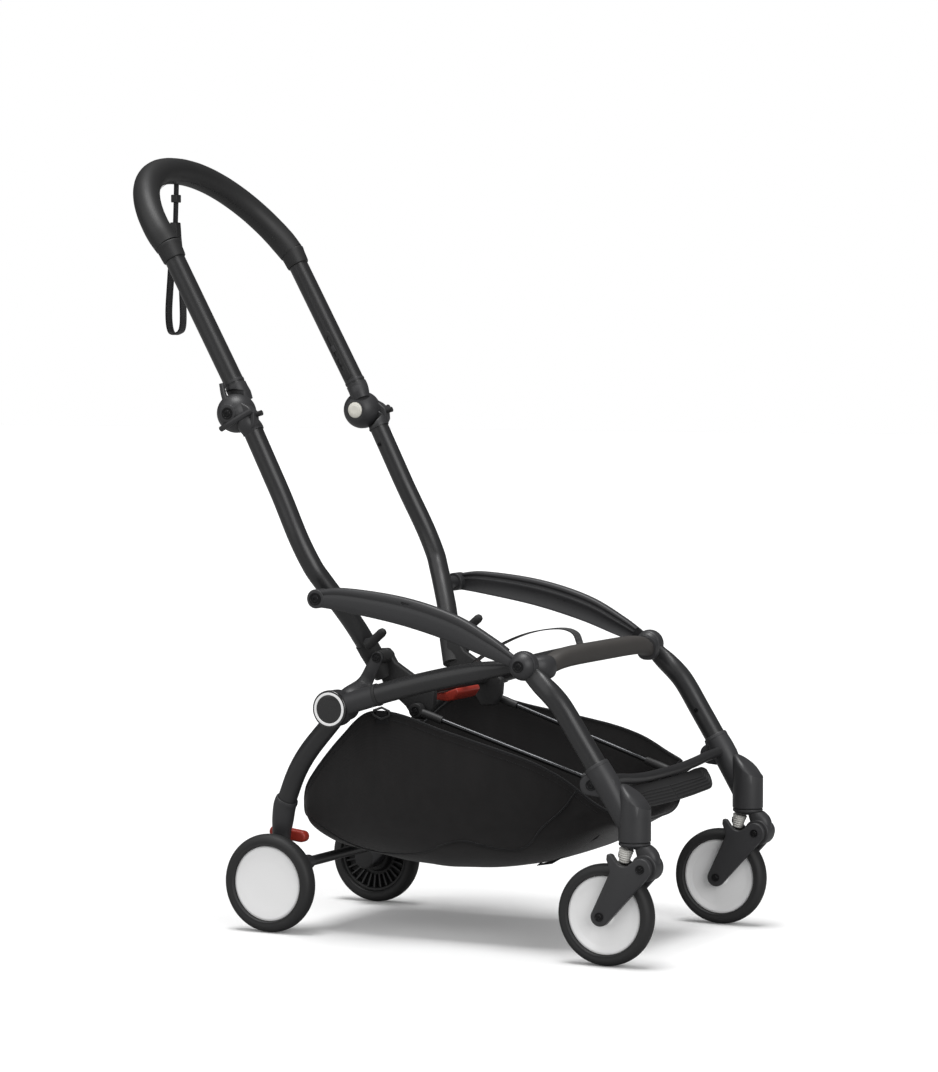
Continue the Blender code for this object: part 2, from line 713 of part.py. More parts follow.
def rear_leg():
    """The bent leg, with its disc on the hub and the short lever up to the upright."""
    path = rear_leg_curve()
    sizes = [(0.0105, 0.0125)] + [(0.0112, REAR_LEG_RADIUS)] * 2
    sizes += [REAR_LEG_RADIUS] * (len(path) - 3)
    body = sweep("rear_leg", path, sizes, 12)
    disc = drum("disc", HUB, 0.1520, 0.1772, 0.0190, 0.0012)
    y, z = HUB
    ly, lz = LINK_PIVOT
    ray = Vector((0, ly - y, lz - z))
    hub = Vector((0, y, z))
    lever = sweep("lever", [hub + ray * share + Vector((x, 0, 0)) for share, x in
                            ((0, REAR_LEG_X), (0.22, 0.1600), (0.46, 0.1345), (0.75, 0.1334),
                             (1, 0.1330))],
                  [(0.0100, 0.0155), (0.0090, 0.0145), (0.0040, 0.0110), (0.0032, 0.0094),
                   (0.0026, 0.0084)], TUBE_SIDES)
    boss = drum("boss", LINK_PIVOT, 0.1290, 0.1356, 0.0080, 0, 12)
    room = drum("room", LINK_PIVOT, 0.1100, 0.1301, 0.05, 0, ROOM_SIDES)
    return cut(fuse(body, disc, lever, boss), room)


def rear_foot():
    """The casting at the leg's end, which carries the wheel and the cross tube."""
    path = rear_leg_path()
    above, top = rear_leg_curve()[-2:]
    heading = (top - above).normalized()
    start = top + heading * GAP
    points = [start, start + heading * 0.008, Vector(path[5]), Vector(path[6]),
              (REAR_FOOT_X - 0.0005, REAR_AXLE[0] - 0.002, REAR_AXLE[1] + 0.028),
              (REAR_FOOT_X - 0.0015, *REAR_AXLE)]
    body = sweep("rear_foot", points, [0.0156, 0.0156, 0.0148, 0.0126, 0.0110, 0.0104], 12)
    toe = plate("toe", capsule_outline(REAR_AXLE, (REAR_AXLE[0] - 0.0400, REAR_AXLE[1] + 0.0270),
                                       0.0150, 0.0100), REAR_FOOT_X - 0.0118, REAR_FOOT_X + 0.0100, 0.0015)
    hub = drum("hub", REAR_AXLE, REAR_FOOT_X - 0.0120, REAR_WHEEL_X - WHEEL_WIDTH / 2 - GAP, 0.0165)
    pin = drum("pin", REAR_AXLE, REAR_FOOT_X, REAR_WHEEL_X - 0.0003, AXLE_RADIUS, 0, SMALL_SIDES)
    return fuse(body, toe, hub, pin)


def cross_tube():
    end = REAR_FOOT_X - 0.0118 - GAP
    y = REAR_AXLE[0] - 0.0400
    z = REAR_AXLE[1] + 0.0270
    return sweep("cross_tube", [(-end, y, z), (end, y, z)], CROSS_TUBE_RADIUS, TUBE_SIDES, (0, 0, 1))


def brake_pedal():
    """A rounded foot bar on the inner side of the right leg's casting."""
    y, z = REAR_AXLE
    outline = capsule_outline((y - 0.0242, z + 0.0594), (y + 0.0170, z + 0.0640), 0.0078, 0.0080)
    return plate("brake_pedal", outline, -(REAR_FOOT_X - 0.0127), -(REAR_FOOT_X - 0.0280), 0.002)


# Arms

def arm():
    y, z = SEAT_PIVOT
    ay, az = ARM_PIVOT
    half = ARM_THICKNESS / 2
    middle = ARM_INNER + half
    outer = ARM_INNER + ARM_THICKNESS
    points = smooth([at(middle, ARM_PIVOT), (middle, ay - 0.040, az - 0.0005),
                     (middle, ay - 0.125, az - 0.0123), (middle, ay - 0.199, az - 0.0318),
                     (middle, y + 0.047, z + 0.0225), at(middle, SEAT_PIVOT)], 2)
    depths = smooth([(d, 0, 0) for d in (0.0120, 0.0158, 0.0185, 0.0183, 0.0140, 0.0090)], 2)
    body = sweep("arm", points, [(half, d.x) for d in depths], TUBE_SIDES, squareness=0.6)
    boss = drum("boss", ARM_PIVOT, ARM_INNER - 0.0100, outer + 0.0005, 0.0128)
    room = drum("room", SEAT_PIVOT, 0.1800, BALL_OUTER_CUT + GAP, 0.0290, 0, ROOM_SIDES)
    cap = ball_slice("cap", SEAT_PIVOT, BALL_X, BALL_RADIUS, BALL_OUTER_CUT - 0.0035,
                     BALL_X + BALL_RADIUS * 0.93)
    bolts = [drum("bolt", SEAT_PIVOT, 0.2150, BALL_X + BALL_RADIUS, 0.0090, 0, 12),
             drum("bolt", ARM_PIVOT, outer - 0.001, outer + 0.0017, 0.0085, 0, 12)]
    return cut(fuse(body, boss, cap, *bolts), room)


# Uprights

def upright_path():
    """From the handle knuckle down to the bend, then inwards to the foot."""
    y, z = ARM_PIVOT
    return [tube_point(-NECK_LENGTH - GAP), tube_point(-BEND_LENGTH * 0.5), tube_point(-BEND_LENGTH),
            (0.1690, y + 0.0120, z + 0.0190), (0.1524, y - 0.0040, z - 0.0110),
            (0.1362, y - 0.0187, z - 0.0410), (0.1230, y - 0.0283, z - 0.0655)]


def upright_tube():
    path = upright_path()
    points = [Vector(path[0]), Vector(path[1])] + smooth(path[2:], 2)
    radii = [TUBE_RADIUS] * (len(points) - 3)
    radii += [TUBE_RADIUS - FOOT_TAPER * step for step in (1, 2, 3)]
    body = sweep("upright_tube", points, radii, 12)
    spigot = drum("spigot", ARM_PIVOT, 0.1560, 0.1900 - GAP, 0.0090, 0, 12)
    middle = Vector((0.1440, LINK_PIVOT[0] - 0.0030, LINK_PIVOT[1] + 0.0260))
    lean = Vector((0, -0.76, 0.65)).normalized()
    bumper = sweep("bumper", [middle + lean * d for d in (-0.0190, -0.0150, 0.0150, 0.0190)],
                   [0.0030, 0.0049, 0.0049, 0.0030], SMALL_SIDES)
    stem = sweep("stem", [points[-2] - Vector((0.002, 0, 0)), middle - lean * 0.006], 0.0040, 8)
    return fuse(body, spigot, stem, bumper)


def upright_foot():
    """The casting on the tube's lower end, with both link pivots."""
    above, top = smooth(upright_path()[2:], 2)[-2:]
    heading = (top - above).normalized()
    inner = 0.0965
    outer = 0.1090 - GAP
    collar = sweep("upright_foot", [top + heading * GAP, top + heading * 0.052],
                   [0.0150, 0.0132], 12)
    sy, sz = STRUT_REAR
    ly, lz = LINK_PIVOT
    web = plate("web", [(ly + 0.022, lz + 0.010), (ly - 0.002, lz + 0.011), (ly - 0.014, lz - 0.008),
                        (sy - 0.022, sz + 0.026), (sy - 0.020, sz + 0.004), (sy - 0.010, sz - 0.012),
                        (sy + 0.012, sz - 0.014), (sy + 0.030, sz + 0.006), (ly + 0.010, lz - 0.040),
                        (ly + 0.022, lz - 0.020)], inner, outer, 0.0015)
    boss = drum("boss", LINK_PIVOT, inner + 0.002, 0.1298, 0.0088, 0, 12)
    return fuse(collar, web, boss)


def foot_crossbar():
    end = 0.0965 - GAP
    y, z = STRUT_REAR
    return sweep("foot_crossbar", [(-end, y + 0.010, z + 0.026), (end, y + 0.010, z + 0.026)],
                 (0.0085, 0.0110), TUBE_SIDES, (0, 0, 1))


def fold_lever():
    """The red lever under the crossbar that frees the fold."""
    y, z = STRUT_REAR
    outline = [(y + 0.019, z + 0.0158), (y + 0.003, z + 0.0158), (y - 0.008, z + 0.0206),
               (y - 0.022, z + 0.0270), (y - 0.024, z + 0.0200), (y - 0.014, z + 0.0080),
               (y - 0.004, z + 0.0050), (y + 0.016, z + 0.0070)]
    return plate("fold_lever", outline, -0.040, 0.040, 0.0015)


def upright_knuckle():
    """The outer half of the handle knuckle, with its neck, lug, guard bar and peg."""
    y, z = HANDLE_PIVOT
    split = KNUCKLE_SPLIT + GAP
    body = ball_slice("upright_knuckle", HANDLE_PIVOT, KNUCKLE_SPLIT, KNUCKLE_RADIUS, split - 0.002,
                      KNUCKLE_SPLIT + KNUCKLE_RADIUS * 0.95)
    neck = sweep("neck", [tube_point(-0.006, 0.1860), tube_point(-0.020, 0.1850),
                          tube_point(-NECK_LENGTH + 0.005), tube_point(-NECK_LENGTH)],
                 [0.0130, 0.0150, 0.0152, 0.0150], 12)
    lug = plate("lug", [(y - 0.032, z - 0.021), (y - 0.018, z - 0.021), (y - 0.014, z + 0.016),
                        (y - 0.026, z + 0.010), (y - 0.036, z + 0.002), (y - 0.037, z - 0.014)],
                0.1800, 0.1950, 0.0020)
    bar = sweep("bar", [(0.1970, y + 0.012, z - 0.021), (0.1985, y - 0.012, z - 0.008),
                        (0.1955, y - 0.034, z + 0.004)], 0.0042, 8)
    peg = sweep("peg", [(0.1900, y + 0.008, z + 0.014), (0.1900, y + 0.013, z + 0.027),
                        (0.1900, y + 0.017, z + 0.041)], [0.0050, 0.0040, 0.0034], 8)
    bolt = drum("bolt", HANDLE_PIVOT, 0.2000, KNUCKLE_SPLIT + KNUCKLE_RADIUS + 0.0006,
                0.0085, 0, 12)
    room = drum("room", HANDLE_PIVOT, 0.1400, split, 0.0300, 0, ROOM_SIDES)
    return cut(fuse(body, neck, lug, bar, peg, bolt), room)


# Handle

def handle_knuckle():
    """The inner half of the knuckle, with a pocket for the release button."""
    split = KNUCKLE_SPLIT - GAP
    body = ball_slice("handle_knuckle", HANDLE_PIVOT, KNUCKLE_SPLIT, KNUCKLE_RADIUS,
                      KNUCKLE_SPLIT - KNUCKLE_RADIUS * 0.86, split + 0.002)
    neck = sweep("neck", [tube_point(0.006, 0.1670), tube_point(0.020, 0.1670),
                          tube_point(NECK_LENGTH - 0.005, HANDLE_X), tube_point(NECK_LENGTH, HANDLE_X)],
                 [0.0120, 0.0144, 0.0150, 0.0150], 12)
    room = drum("room", HANDLE_PIVOT, split, 0.2100, 0.0300, 0, ROOM_SIDES)
    pocket = drum("pocket", HANDLE_PIVOT, 0.1400, 0.1640, BUTTON_RADIUS + GAP, 0, 14)
    return cut(fuse(body, neck), room, pocket)


def handle_button():
    return drum("handle_button", HANDLE_PIVOT, 0.1535, 0.1600, BUTTON_RADIUS, 0.0008, 14)


def handle_tube():
    return sweep("handle_tube", [tube_point(NECK_LENGTH + GAP, HANDLE_X),
                                 tube_point(HANDLE_LENGTH - GAP, HANDLE_X)], HANDLE_RADIUS, 12)


def hoop_apex():
    """The highest point of the hoop, measured from where it leaves the tubes."""
    _, y, z = tube_point(HANDLE_LENGTH)
    return (y + HOOP_REACH, z + HOOP_RISE)


def handle_grip():
    """The padded hoop, with a collar on each tube."""
    apex_y, apex_z = hoop_apex()
    start = Vector(tube_point(HANDLE_LENGTH + GRIP_COLLAR, HANDLE_X))
    control = start + Vector((0, cos(TUBE_LEAN), sin(TUBE_LEAN))) * 0.070 + Vector((0, 0.010, 0))
    steps = 7
    half = []
    for i in range(steps + 1):
        angle = pi / 2 * i / steps
        t = sin(angle)
        y = (1 - t) ** 2 * start.y + 2 * t * (1 - t) * control.y + t ** 2 * apex_y
        z = (1 - t) ** 2 * start.z + 2 * t * (1 - t) * control.z + t ** 2 * apex_z
        half.append((HANDLE_X * max(cos(angle), 0.0) ** 0.85, y, z))
    first = tube_point(HANDLE_LENGTH, HANDLE_X)
    left = [first] + half
    points = left + [(-x, y, z) for x, y, z in left[-2::-1]]
    radii = [0.0162, 0.0166, 0.0172] + [GRIP_RADIUS] * (len(points) - 6) + [0.0172, 0.0166, 0.0162]
    return sweep("handle_grip", points, radii, 12, (0, 0.6, -0.8))


def wrist_strap():
    """The hanging webbing: one strand to the clip and a long closed loop below."""
    y, z = hoop_apex()
    loop = [(0, y + 0.004, z - 0.085), (0, y + 0.009, z - 0.150), (0, y + 0.0125, z - 0.200),
            (0, y + 0.009, z - 0.226), (0, y - 0.002, z - 0.229), (0, y - 0.011, z - 0.215),
            (0, y - 0.009, z - 0.150), (0, y - 0.002, z - 0.085)]
    body = sweep("wrist_strap", loop, (0.0060, 0.0011), 8, (1, 0, 0), 0.4)
    strand = sweep("strand", [(0, y - 0.001, z - GRIP_RADIUS - 0.0005), (0, y + 0.001, z - 0.078)],
                   (0.0050, 0.0012), 8, (1, 0, 0), 0.4)
    clip = plate("clip", [(y - 0.0055, z - 0.092), (y + 0.0075, z - 0.092), (y + 0.0060, z - 0.072),
                          (y - 0.0040, z - 0.072)], -0.0068, 0.0068, 0.001)
    return fuse(body, clip, strand)


# Assembly

def two_pivots(name, x, pivot):
    return (pivot_empty(name + "_l", at(x, pivot)), pivot_empty(name + "_r", at(-x, pivot)))


def build():
    seat = pivot_empty("seat_frame", (0, 0, 0))
    seats = (seat, seat)
    for make, look in ((seat_rail, "tube"), (hub_drum, "casting"), (hub_cover, "plastic"),
                       (seat_knuckle, "casting"), (basket_clip, "cloth")):
        pair(make(), look, seats)
    finish(seat_crossbar(), "seat bar", seat)
    finish(pull_strap(), "cloth", seat)
    finish(basket(), "cloth", seat)

    legs = pivot_empty("front_legs", at(0, SEAT_PIVOT))
    pair(front_leg(), "tube", (legs, legs))
    pair(front_sleeve(), "casting", (legs, legs))
    finish(front_bar(), "tube", legs)
    finish(footrest(), "plastic", legs)
    pair(strut(), "tube", two_pivots("struts", 0.0990, STRUT_FRONT))

    caster_axis = (CASTER_Y, HOUSING_BOTTOM)
    casters = two_pivots("caster", CASTER_X, caster_axis)
    forks = two_pivots("fork", CASTER_X, FORK_PIVOT)
    front_wheels = two_pivots("front_wheel", CASTER_X, FRONT_AXLE)
    pair(caster_yoke(), "casting", casters)
    pair(elastomer(), "white", casters)
    pair(caster_fork(), "casting", forks)
    pair(tyre("front_tyre", CASTER_X, FRONT_AXLE, FRONT_WHEEL_RADIUS), "tyre", front_wheels)
    pair(wheel_disc("front_disc", CASTER_X, FRONT_AXLE, False), "white", front_wheels)

    rears = pivot_empty("rear_legs", at(0, HUB))
    rear_wheels = two_pivots("rear_wheel", REAR_WHEEL_X, REAR_AXLE)
    pair(rear_leg(), "tube", (rears, rears))
    pair(rear_foot(), "casting", (rears, rears))
    finish(cross_tube(), "tube", rears)
    finish(brake_pedal(), "red", pivot_empty("brake", at(0, (REAR_AXLE[0], REAR_AXLE[1] + 0.062))))
    pair(tyre("rear_tyre", REAR_WHEEL_X, REAR_AXLE, WHEEL_RADIUS), "tyre", rear_wheels)
    pair(wheel_disc("rear_disc", REAR_WHEEL_X, REAR_AXLE, True), "white", rear_wheels)

    arms = pivot_empty("arms", at(0, SEAT_PIVOT))
    pair(arm(), "casting", (arms, arms))

    uprights = pivot_empty("uprights", at(0, ARM_PIVOT))
    sides = (uprights, uprights)
    pair(upright_tube(), "tube", sides)
    pair(upright_foot(), "plastic", sides)
    pair(upright_knuckle(), "casting", sides)
    finish(foot_crossbar(), "plastic", uprights)
    finish(fold_lever(), "red", pivot_empty("lever", at(0, between(STRUT_REAR, LINK_PIVOT, 0.3))))

    handle = pivot_empty("handle", at(0, HANDLE_PIVOT))
    pair(handle_knuckle(), "casting", (handle, handle))
    pair(handle_button(), "white", two_pivots("button", KNUCKLE_SPLIT, HANDLE_PIVOT))
    pair(handle_tube(), "tube", (handle, handle))
    finish(handle_grip(), "grip", handle)
    finish(wrist_strap(), "cloth", handle)


def main():
    for old in list(bpy.data.objects):
        bpy.data.objects.remove(old)
    build()


main()
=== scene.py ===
"""Looks of a compact stroller chassis: satin black frame, wheels, hoop handle and cloth basket.

Metres, +Z up, +Y towards the handle, X across. Each paired piece is modelled on the
left side (+X) and mirrored to the right.
"""
from math import atan2, cos, pi, radians, sin, sqrt
import bmesh
import bpy
from bpy.props import FloatProperty, FloatVectorProperty, IntProperty, PointerProperty
from mathutils import Matrix, Vector, noise


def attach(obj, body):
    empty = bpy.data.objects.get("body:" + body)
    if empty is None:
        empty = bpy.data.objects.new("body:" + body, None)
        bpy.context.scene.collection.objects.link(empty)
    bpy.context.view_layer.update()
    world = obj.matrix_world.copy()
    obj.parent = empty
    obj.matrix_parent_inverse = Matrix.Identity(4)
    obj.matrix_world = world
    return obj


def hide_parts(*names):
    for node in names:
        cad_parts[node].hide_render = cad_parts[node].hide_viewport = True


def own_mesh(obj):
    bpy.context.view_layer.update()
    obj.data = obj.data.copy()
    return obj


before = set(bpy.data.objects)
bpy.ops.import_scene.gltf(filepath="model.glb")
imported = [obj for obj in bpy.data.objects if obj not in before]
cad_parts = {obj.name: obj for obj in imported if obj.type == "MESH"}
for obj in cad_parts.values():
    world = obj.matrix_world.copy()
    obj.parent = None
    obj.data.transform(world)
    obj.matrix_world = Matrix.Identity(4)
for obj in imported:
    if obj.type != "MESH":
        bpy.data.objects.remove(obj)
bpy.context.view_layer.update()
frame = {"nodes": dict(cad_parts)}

bl_info = {
    "name": "Stroller chassis",
    "version": (1, 0, 0),
    "blender": (4, 5, 0),
    "location": "View3D > Sidebar > Stroller",
    "description": "Models the finished surfaces of a compact stroller chassis",
    "category": "Object",
}

# Pivots, each as (y, z)
HUB = (0.049, 0.314)
SEAT_PIVOT = (-0.2374, 0.3829)
ARM_PIVOT = (0.064, 0.461)
HANDLE_PIVOT = (0.2047, 0.7058)
LINK_PIVOT = (0.014, 0.379)
STRUT_REAR = (-0.037, 0.3085)
STRUT_FRONT = (-0.325, 0.2155)
FORK_PIVOT = (-0.4073, 0.1308)
FRONT_AXLE = (-0.3505, 0.0662)
REAR_AXLE = (0.1688, 0.0672)
CASTER_Y = -0.3897

# Widths across the frame
CASTER_X = 0.1907
REAR_WHEEL_X = 0.1530
RAIL_X = 0.1880
REAR_LEG_X = 0.1640
REAR_FOOT_X = 0.1268
TUBE_X = 0.1790
HANDLE_X = 0.1704
BALL_X = 0.2013
BALL_INNER_CUT = 0.1916
BALL_OUTER_CUT = 0.2083
KNUCKLE_SPLIT = 0.1777
CROSSBAR_X = 0.1597
ARM_INNER = 0.2000
ARM_OUTER = 0.2135

# Lengths and radii that the frame fixes
SLEEVE_END = 0.230
BALL_RADIUS = 0.0195
KNUCKLE_RADIUS = 0.0268
DISC_RADIUS = 0.0512
REAR_WHEEL_RADIUS = 0.0672
FRONT_WHEEL_RADIUS = 0.0662
HOUSING_RADIUS = 0.0210
HOUSING_BOTTOM = 0.1624
HOUSING_TOP = 0.2250
TUBE_LEAN = radians(61.0)
LOWER_LEAN = radians(63.2)
TUBE_OFFSET = 0.0127
NECK_LENGTH = 0.0350
BEND_LENGTH = 0.2350
HANDLE_LENGTH = 0.2309
GRIP_START = 0.2492
GRIP_APEX = (0.4080, 1.0440)
HOOP_MIDDLE = Vector((0, 0.334, 0.955))
GAP = 0.0003

# Seat rails and hoop are thicker here than in the frame, and the rails bow more
RAIL_BOW = 0.0075
RAIL_RADIUS = 0.0138
GRIP_RADIUS = 0.0184

# The cast foot's toe, where the cross tube meets it
TOE = (REAR_AXLE[0] - 0.0400, REAR_AXLE[1] + 0.0270)

# How square the basket's section is: 1 is round, less is squarer
CORNER_POWER = 0.45

# How much light the floor throws back at the chassis; the camera sees it paler
FLOOR_BOUNCE = 0.30

# The camera that sees the chassis as the photograph does
CAMERA_PLACE = (-4.26842, -2.20531, 0.77756)
CAMERA_YAW = radians(26.7193)
CAMERA_PITCH = radians(-2.8732)
CAMERA_LENS = 117.862


# Selecting and shaping by hand

def leave():
    """Object mode with nothing selected."""
    if bpy.context.object and bpy.context.object.mode != 'OBJECT':
        bpy.ops.object.mode_set(mode='OBJECT')
    bpy.ops.object.select_all(action='DESELECT')


def only(piece):
    leave()
    piece.select_set(True)
    bpy.context.view_layer.objects.active = piece
    return piece


def start_point(name, place):
    """A new mesh of one vertex, in edit mode."""
    leave()
    bpy.ops.mesh.primitive_plane_add(size=0.001, location=(0, 0, 0))
    piece = bpy.context.object
    piece.name = name
    bpy.ops.object.mode_set(mode='EDIT')
    bpy.ops.mesh.select_mode(type='VERT')
    bpy.ops.mesh.merge(type='CENTER')
    bpy.ops.transform.translate(value=place)
    return piece


def draw_chain(places):
    """Extrude the selected vertex along the places that follow the first."""
    for here, there in zip(places, places[1:]):
        bpy.ops.mesh.extrude_vertices_move(TRANSFORM_OT_translate={"value": there - here})


def close_up(inside=False):
    """Merge doubles, turn the faces outwards and go back to object mode."""
    bpy.ops.mesh.select_all(action='SELECT')
    bpy.ops.mesh.remove_doubles(threshold=1e-6)
    bpy.ops.mesh.normals_make_consistent(inside=inside)
    bpy.ops.object.mode_set(mode='OBJECT')
    return bpy.context.object


def turned(name, centre, axis, profile, steps=48):
    """A lathe form; profile holds (distance along the axis, radius)."""
    along = Vector(axis).normalized()
    side = Vector((0, 0, 1)) if abs(along.z) < 0.9 else Vector((0, 1, 0))
    side = (side - along * side.dot(along)).normalized()
    places = [Vector(centre) + along * d + side * r for d, r in profile]
    start_point(name, places[0])
    draw_chain(places)
    bpy.ops.mesh.select_all(action='SELECT')
    bpy.ops.mesh.spin(steps=steps, angle=2 * pi, center=centre, axis=along)
    return close_up()


def rounded(profile, size, steps=4):
    """The profile with its inner corners rounded by arcs of about that size."""
    points = [Vector(p) for p in profile]
    out = [points[0]]
    for before, corner, after in zip(points, points[1:], points[2:]):
        to_last = before - corner
        to_next = after - corner
        reach = min(size, to_last.length * 0.45, to_next.length * 0.45)
        one = corner + to_last.normalized() * reach
        two = corner + to_next.normalized() * reach
        for i in range(steps + 1):
            t = i / steps
            out.append(one * (1 - t) ** 2 + corner * (2 * t * (1 - t)) + two * t ** 2)
    return out + [points[-1]]


def drum(name, pivot, inner, outer, radius, edge=0.0008, steps=48):
    """A disc across the frame with rounded rims, around a (y, z) pivot."""
    width = outer - inner
    profile = rounded([(0, 0), (0, radius), (width, radius), (width, 0)], edge)
    return turned(name, (inner, *pivot), (1, 0, 0), profile, steps)


def ball_slice(name, pivot, centre_x, radius, inner, outer, rim=0.0005):
    """The part of a ball between two planes across X, with softened rims."""
    def height(x):
        return sqrt(max(radius ** 2 - (x - centre_x) ** 2, 0))
    steps = 12
    arc_points = []
    for i in range(steps + 1):
        x = inner + (outer - inner) * i / steps
        arc_points.append((x - centre_x, height(x)))
    first, last = arc_points[0], arc_points[-1]
    profile = [(first[0], 0), (first[0], max(first[1] - rim, 0)), *arc_points[1:-1],
               (last[0], max(last[1] - rim, 0)), (last[0], 0)]
    return turned(name, (centre_x, *pivot), (1, 0, 0), profile, 64)


def plate(name, outline, inner, outer, edge=0.0008, segments=3):
    """A flat plate across X from a (y, z) outline, with rounded rims."""
    places = [Vector((inner, y, z)) for y, z in outline]
    piece = start_point(name, places[0])
    draw_chain(places)
    bpy.ops.mesh.select_all(action='SELECT')
    bpy.ops.mesh.edge_face_add()
    bpy.ops.mesh.extrude_region_move(TRANSFORM_OT_translate={"value": (outer - inner, 0, 0)})
    close_up()
    if edge:
        bevel(piece, edge, segments)
    return piece


def line(name, points, radius, radii=None, sides=28, resolution=8, profile=None):
    """A bar along a smooth curve; radii scale the radius at each point."""
    leave()
    bpy.ops.curve.primitive_bezier_curve_add(location=(0, 0, 0))
    piece = bpy.context.object
    piece.name = name
    shape = piece.data
    shape.dimensions = '3D'
    shape.twist_mode = 'Z_UP'
    shape.resolution_u = resolution
    spline = shape.splines[0]
    spline.bezier_points.add(len(points) - 2)
    for i, (knot, place) in enumerate(zip(spline.bezier_points, points)):
        knot.co = place
        knot.handle_left_type = 'AUTO'
        knot.handle_right_type = 'AUTO'
        knot.radius = radii[i] if radii else 1.0
    if profile:
        shape.bevel_mode = 'OBJECT'
        shape.bevel_object = profile
    else:
        shape.bevel_depth = radius
        shape.bevel_resolution = (sides - 4) // 2
    shape.use_fill_caps = True
    bpy.ops.object.convert(target='MESH')
    bpy.ops.object.mode_set(mode='EDIT')
    return close_up()


def oval(width, height, squareness=0.0):
    """A closed curve used as the cross-section of a bar."""
    leave()
    bpy.ops.curve.primitive_bezier_circle_add(radius=1, location=(0, 0, 0))
    ring = bpy.context.object
    for knot in ring.data.splines[0].bezier_points:
        knot.handle_left_type = 'FREE'
        knot.handle_right_type = 'FREE'
        knot.handle_left = knot.co + (knot.handle_left - knot.co) * (1 + squareness)
        knot.handle_right = knot.co + (knot.handle_right - knot.co) * (1 + squareness)
    ring.scale = (width, height, 1)
    bpy.ops.object.transform_apply(scale=True)
    ring.data.resolution_u = 7
    return ring


def discard(*pieces):
    for piece in pieces:
        bpy.data.objects.remove(piece)


def lofted(name, rings, capped=True):
    """A skin over rings of places; used where no bar or lathe has the shape."""
    mesh = bmesh.new()
    made = [[mesh.verts.new(place) for place in ring] for ring in rings]
    count = len(made[0])
    for one, two in zip(made, made[1:]):
        for i in range(count):
            k = (i + 1) % count
            mesh.faces.new((one[i], one[k], two[k], two[i]))
    if capped:
        mesh.faces.new(made[0])
        mesh.faces.new(made[-1])
    bmesh.ops.recalc_face_normals(mesh, faces=mesh.faces)
    if capped and mesh.calc_volume(signed=True) < 0:
        bmesh.ops.reverse_faces(mesh, faces=mesh.faces)
    data = bpy.data.meshes.new(name)
    mesh.to_mesh(data)
    mesh.free()
    piece = bpy.data.objects.new(name, data)
    bpy.context.scene.collection.objects.link(piece)
    return piece


def apply_all(piece):
    only(piece)
    for step in list(piece.modifiers):
        bpy.ops.object.modifier_apply(modifier=step.name)
    return piece


def bevel(piece, width, segments=3, angle=35):
    step = piece.modifiers.new("edge", 'BEVEL')
    step.width = width
    step.segments = segments
    step.limit_method = 'ANGLE'
    step.angle_limit = radians(angle)
    step.use_clamp_overlap = True
    return apply_all(piece)


def combined(piece, tool, operation):
    step = piece.modifiers.new("join", 'BOOLEAN')
    step.operation = operation
    step.solver = 'EXACT'
    step.object = tool
    apply_all(piece)
    discard(tool)
    return piece


def carved(piece, *tools):
    for tool in tools:
        combined(piece, tool, 'DIFFERENCE')
    return piece


def joined(piece, *others):
    """One object out of several, each still closed by itself."""
    only(piece)
    for other in others:
        other.select_set(True)
    bpy.ops.object.join()
    return piece


def arc(centre, radius, start, stop, steps):
    turn = [radians(start + (stop - start) * i / steps) for i in range(steps + 1)]
    return [(centre[0] + radius * cos(a), centre[1] + radius * sin(a)) for a in turn]


def capsule(start, end, start_radius, end_radius, steps=14):
    """A (y, z) outline around two circles of different size."""
    heading = atan2(end[1] - start[1], end[0] - start[0])
    distance = sqrt((end[0] - start[0]) ** 2 + (end[1] - start[1]) ** 2)
    half = pi / 2 - (start_radius - end_radius) / distance
    outline = []
    for i in range(steps + 1):
        angle = heading - half + 2 * half * i / steps
        outline.append((end[0] + end_radius * cos(angle), end[1] + end_radius * sin(angle)))
    for i in range(steps + 1):
        angle = heading + half + 2 * (pi - half) * i / steps
        outline.append((start[0] + start_radius * cos(angle),
                        start[1] + start_radius * sin(angle)))
    return outline


def curve_through(points, steps):
    """Places on a smooth curve through points."""
    knots = [Vector(p) for p in points]
    knots = [knots[0] * 2 - knots[1]] + knots + [knots[-1] * 2 - knots[-2]]
    places = []
    for i in range(1, len(knots) - 2):
        before, one, two, after = knots[i - 1:i + 3]
        for k in range(steps):
            t = k / steps
            places.append(0.5 * (2 * one + (two - before) * t
                                 + (2 * before - 5 * one + 4 * two - after) * t ** 2
                                 + (3 * one - before - 3 * two + after) * t ** 3))
    places.append(knots[-2])
    return places


# Places that several pieces share

def at(x, pivot):
    return Vector((x, pivot[0], pivot[1]))


def rail_point(share):
    """A (y, z) point on the bowed seat rail, from the hub (0) to the seat pivot (1)."""
    y = HUB[0] + (SEAT_PIVOT[0] - HUB[0]) * share
    z = HUB[1] + (SEAT_PIVOT[1] - HUB[1]) * share
    return (y, z + RAIL_BOW * 4 * share * (1 - share))


def tube_point(distance, x=TUBE_X):
    """A point on the leaning tube line; distance is measured up from the knuckle."""
    lean = TUBE_LEAN if distance > 0 else LOWER_LEAN
    y = HANDLE_PIVOT[0] - TUBE_OFFSET * sin(TUBE_LEAN) + distance * cos(lean)
    z = HANDLE_PIVOT[1] + TUBE_OFFSET * cos(TUBE_LEAN) + distance * sin(lean)
    return Vector((x, y, z))


# Materials

def nodes_of(name):
    """A new node material and helpers to add and link its nodes."""
    made = bpy.data.materials.new(name)
    made.use_nodes = True
    tree = made.node_tree
    shader = tree.nodes["Principled BSDF"]
    return made, tree, shader


def add(tree, kind, **values):
    node = tree.nodes.new(kind)
    for key, value in values.items():
        if hasattr(node, key):
            setattr(node, key, value)
        else:
            node.inputs[key.replace("_", " ")].default_value = value
    return node


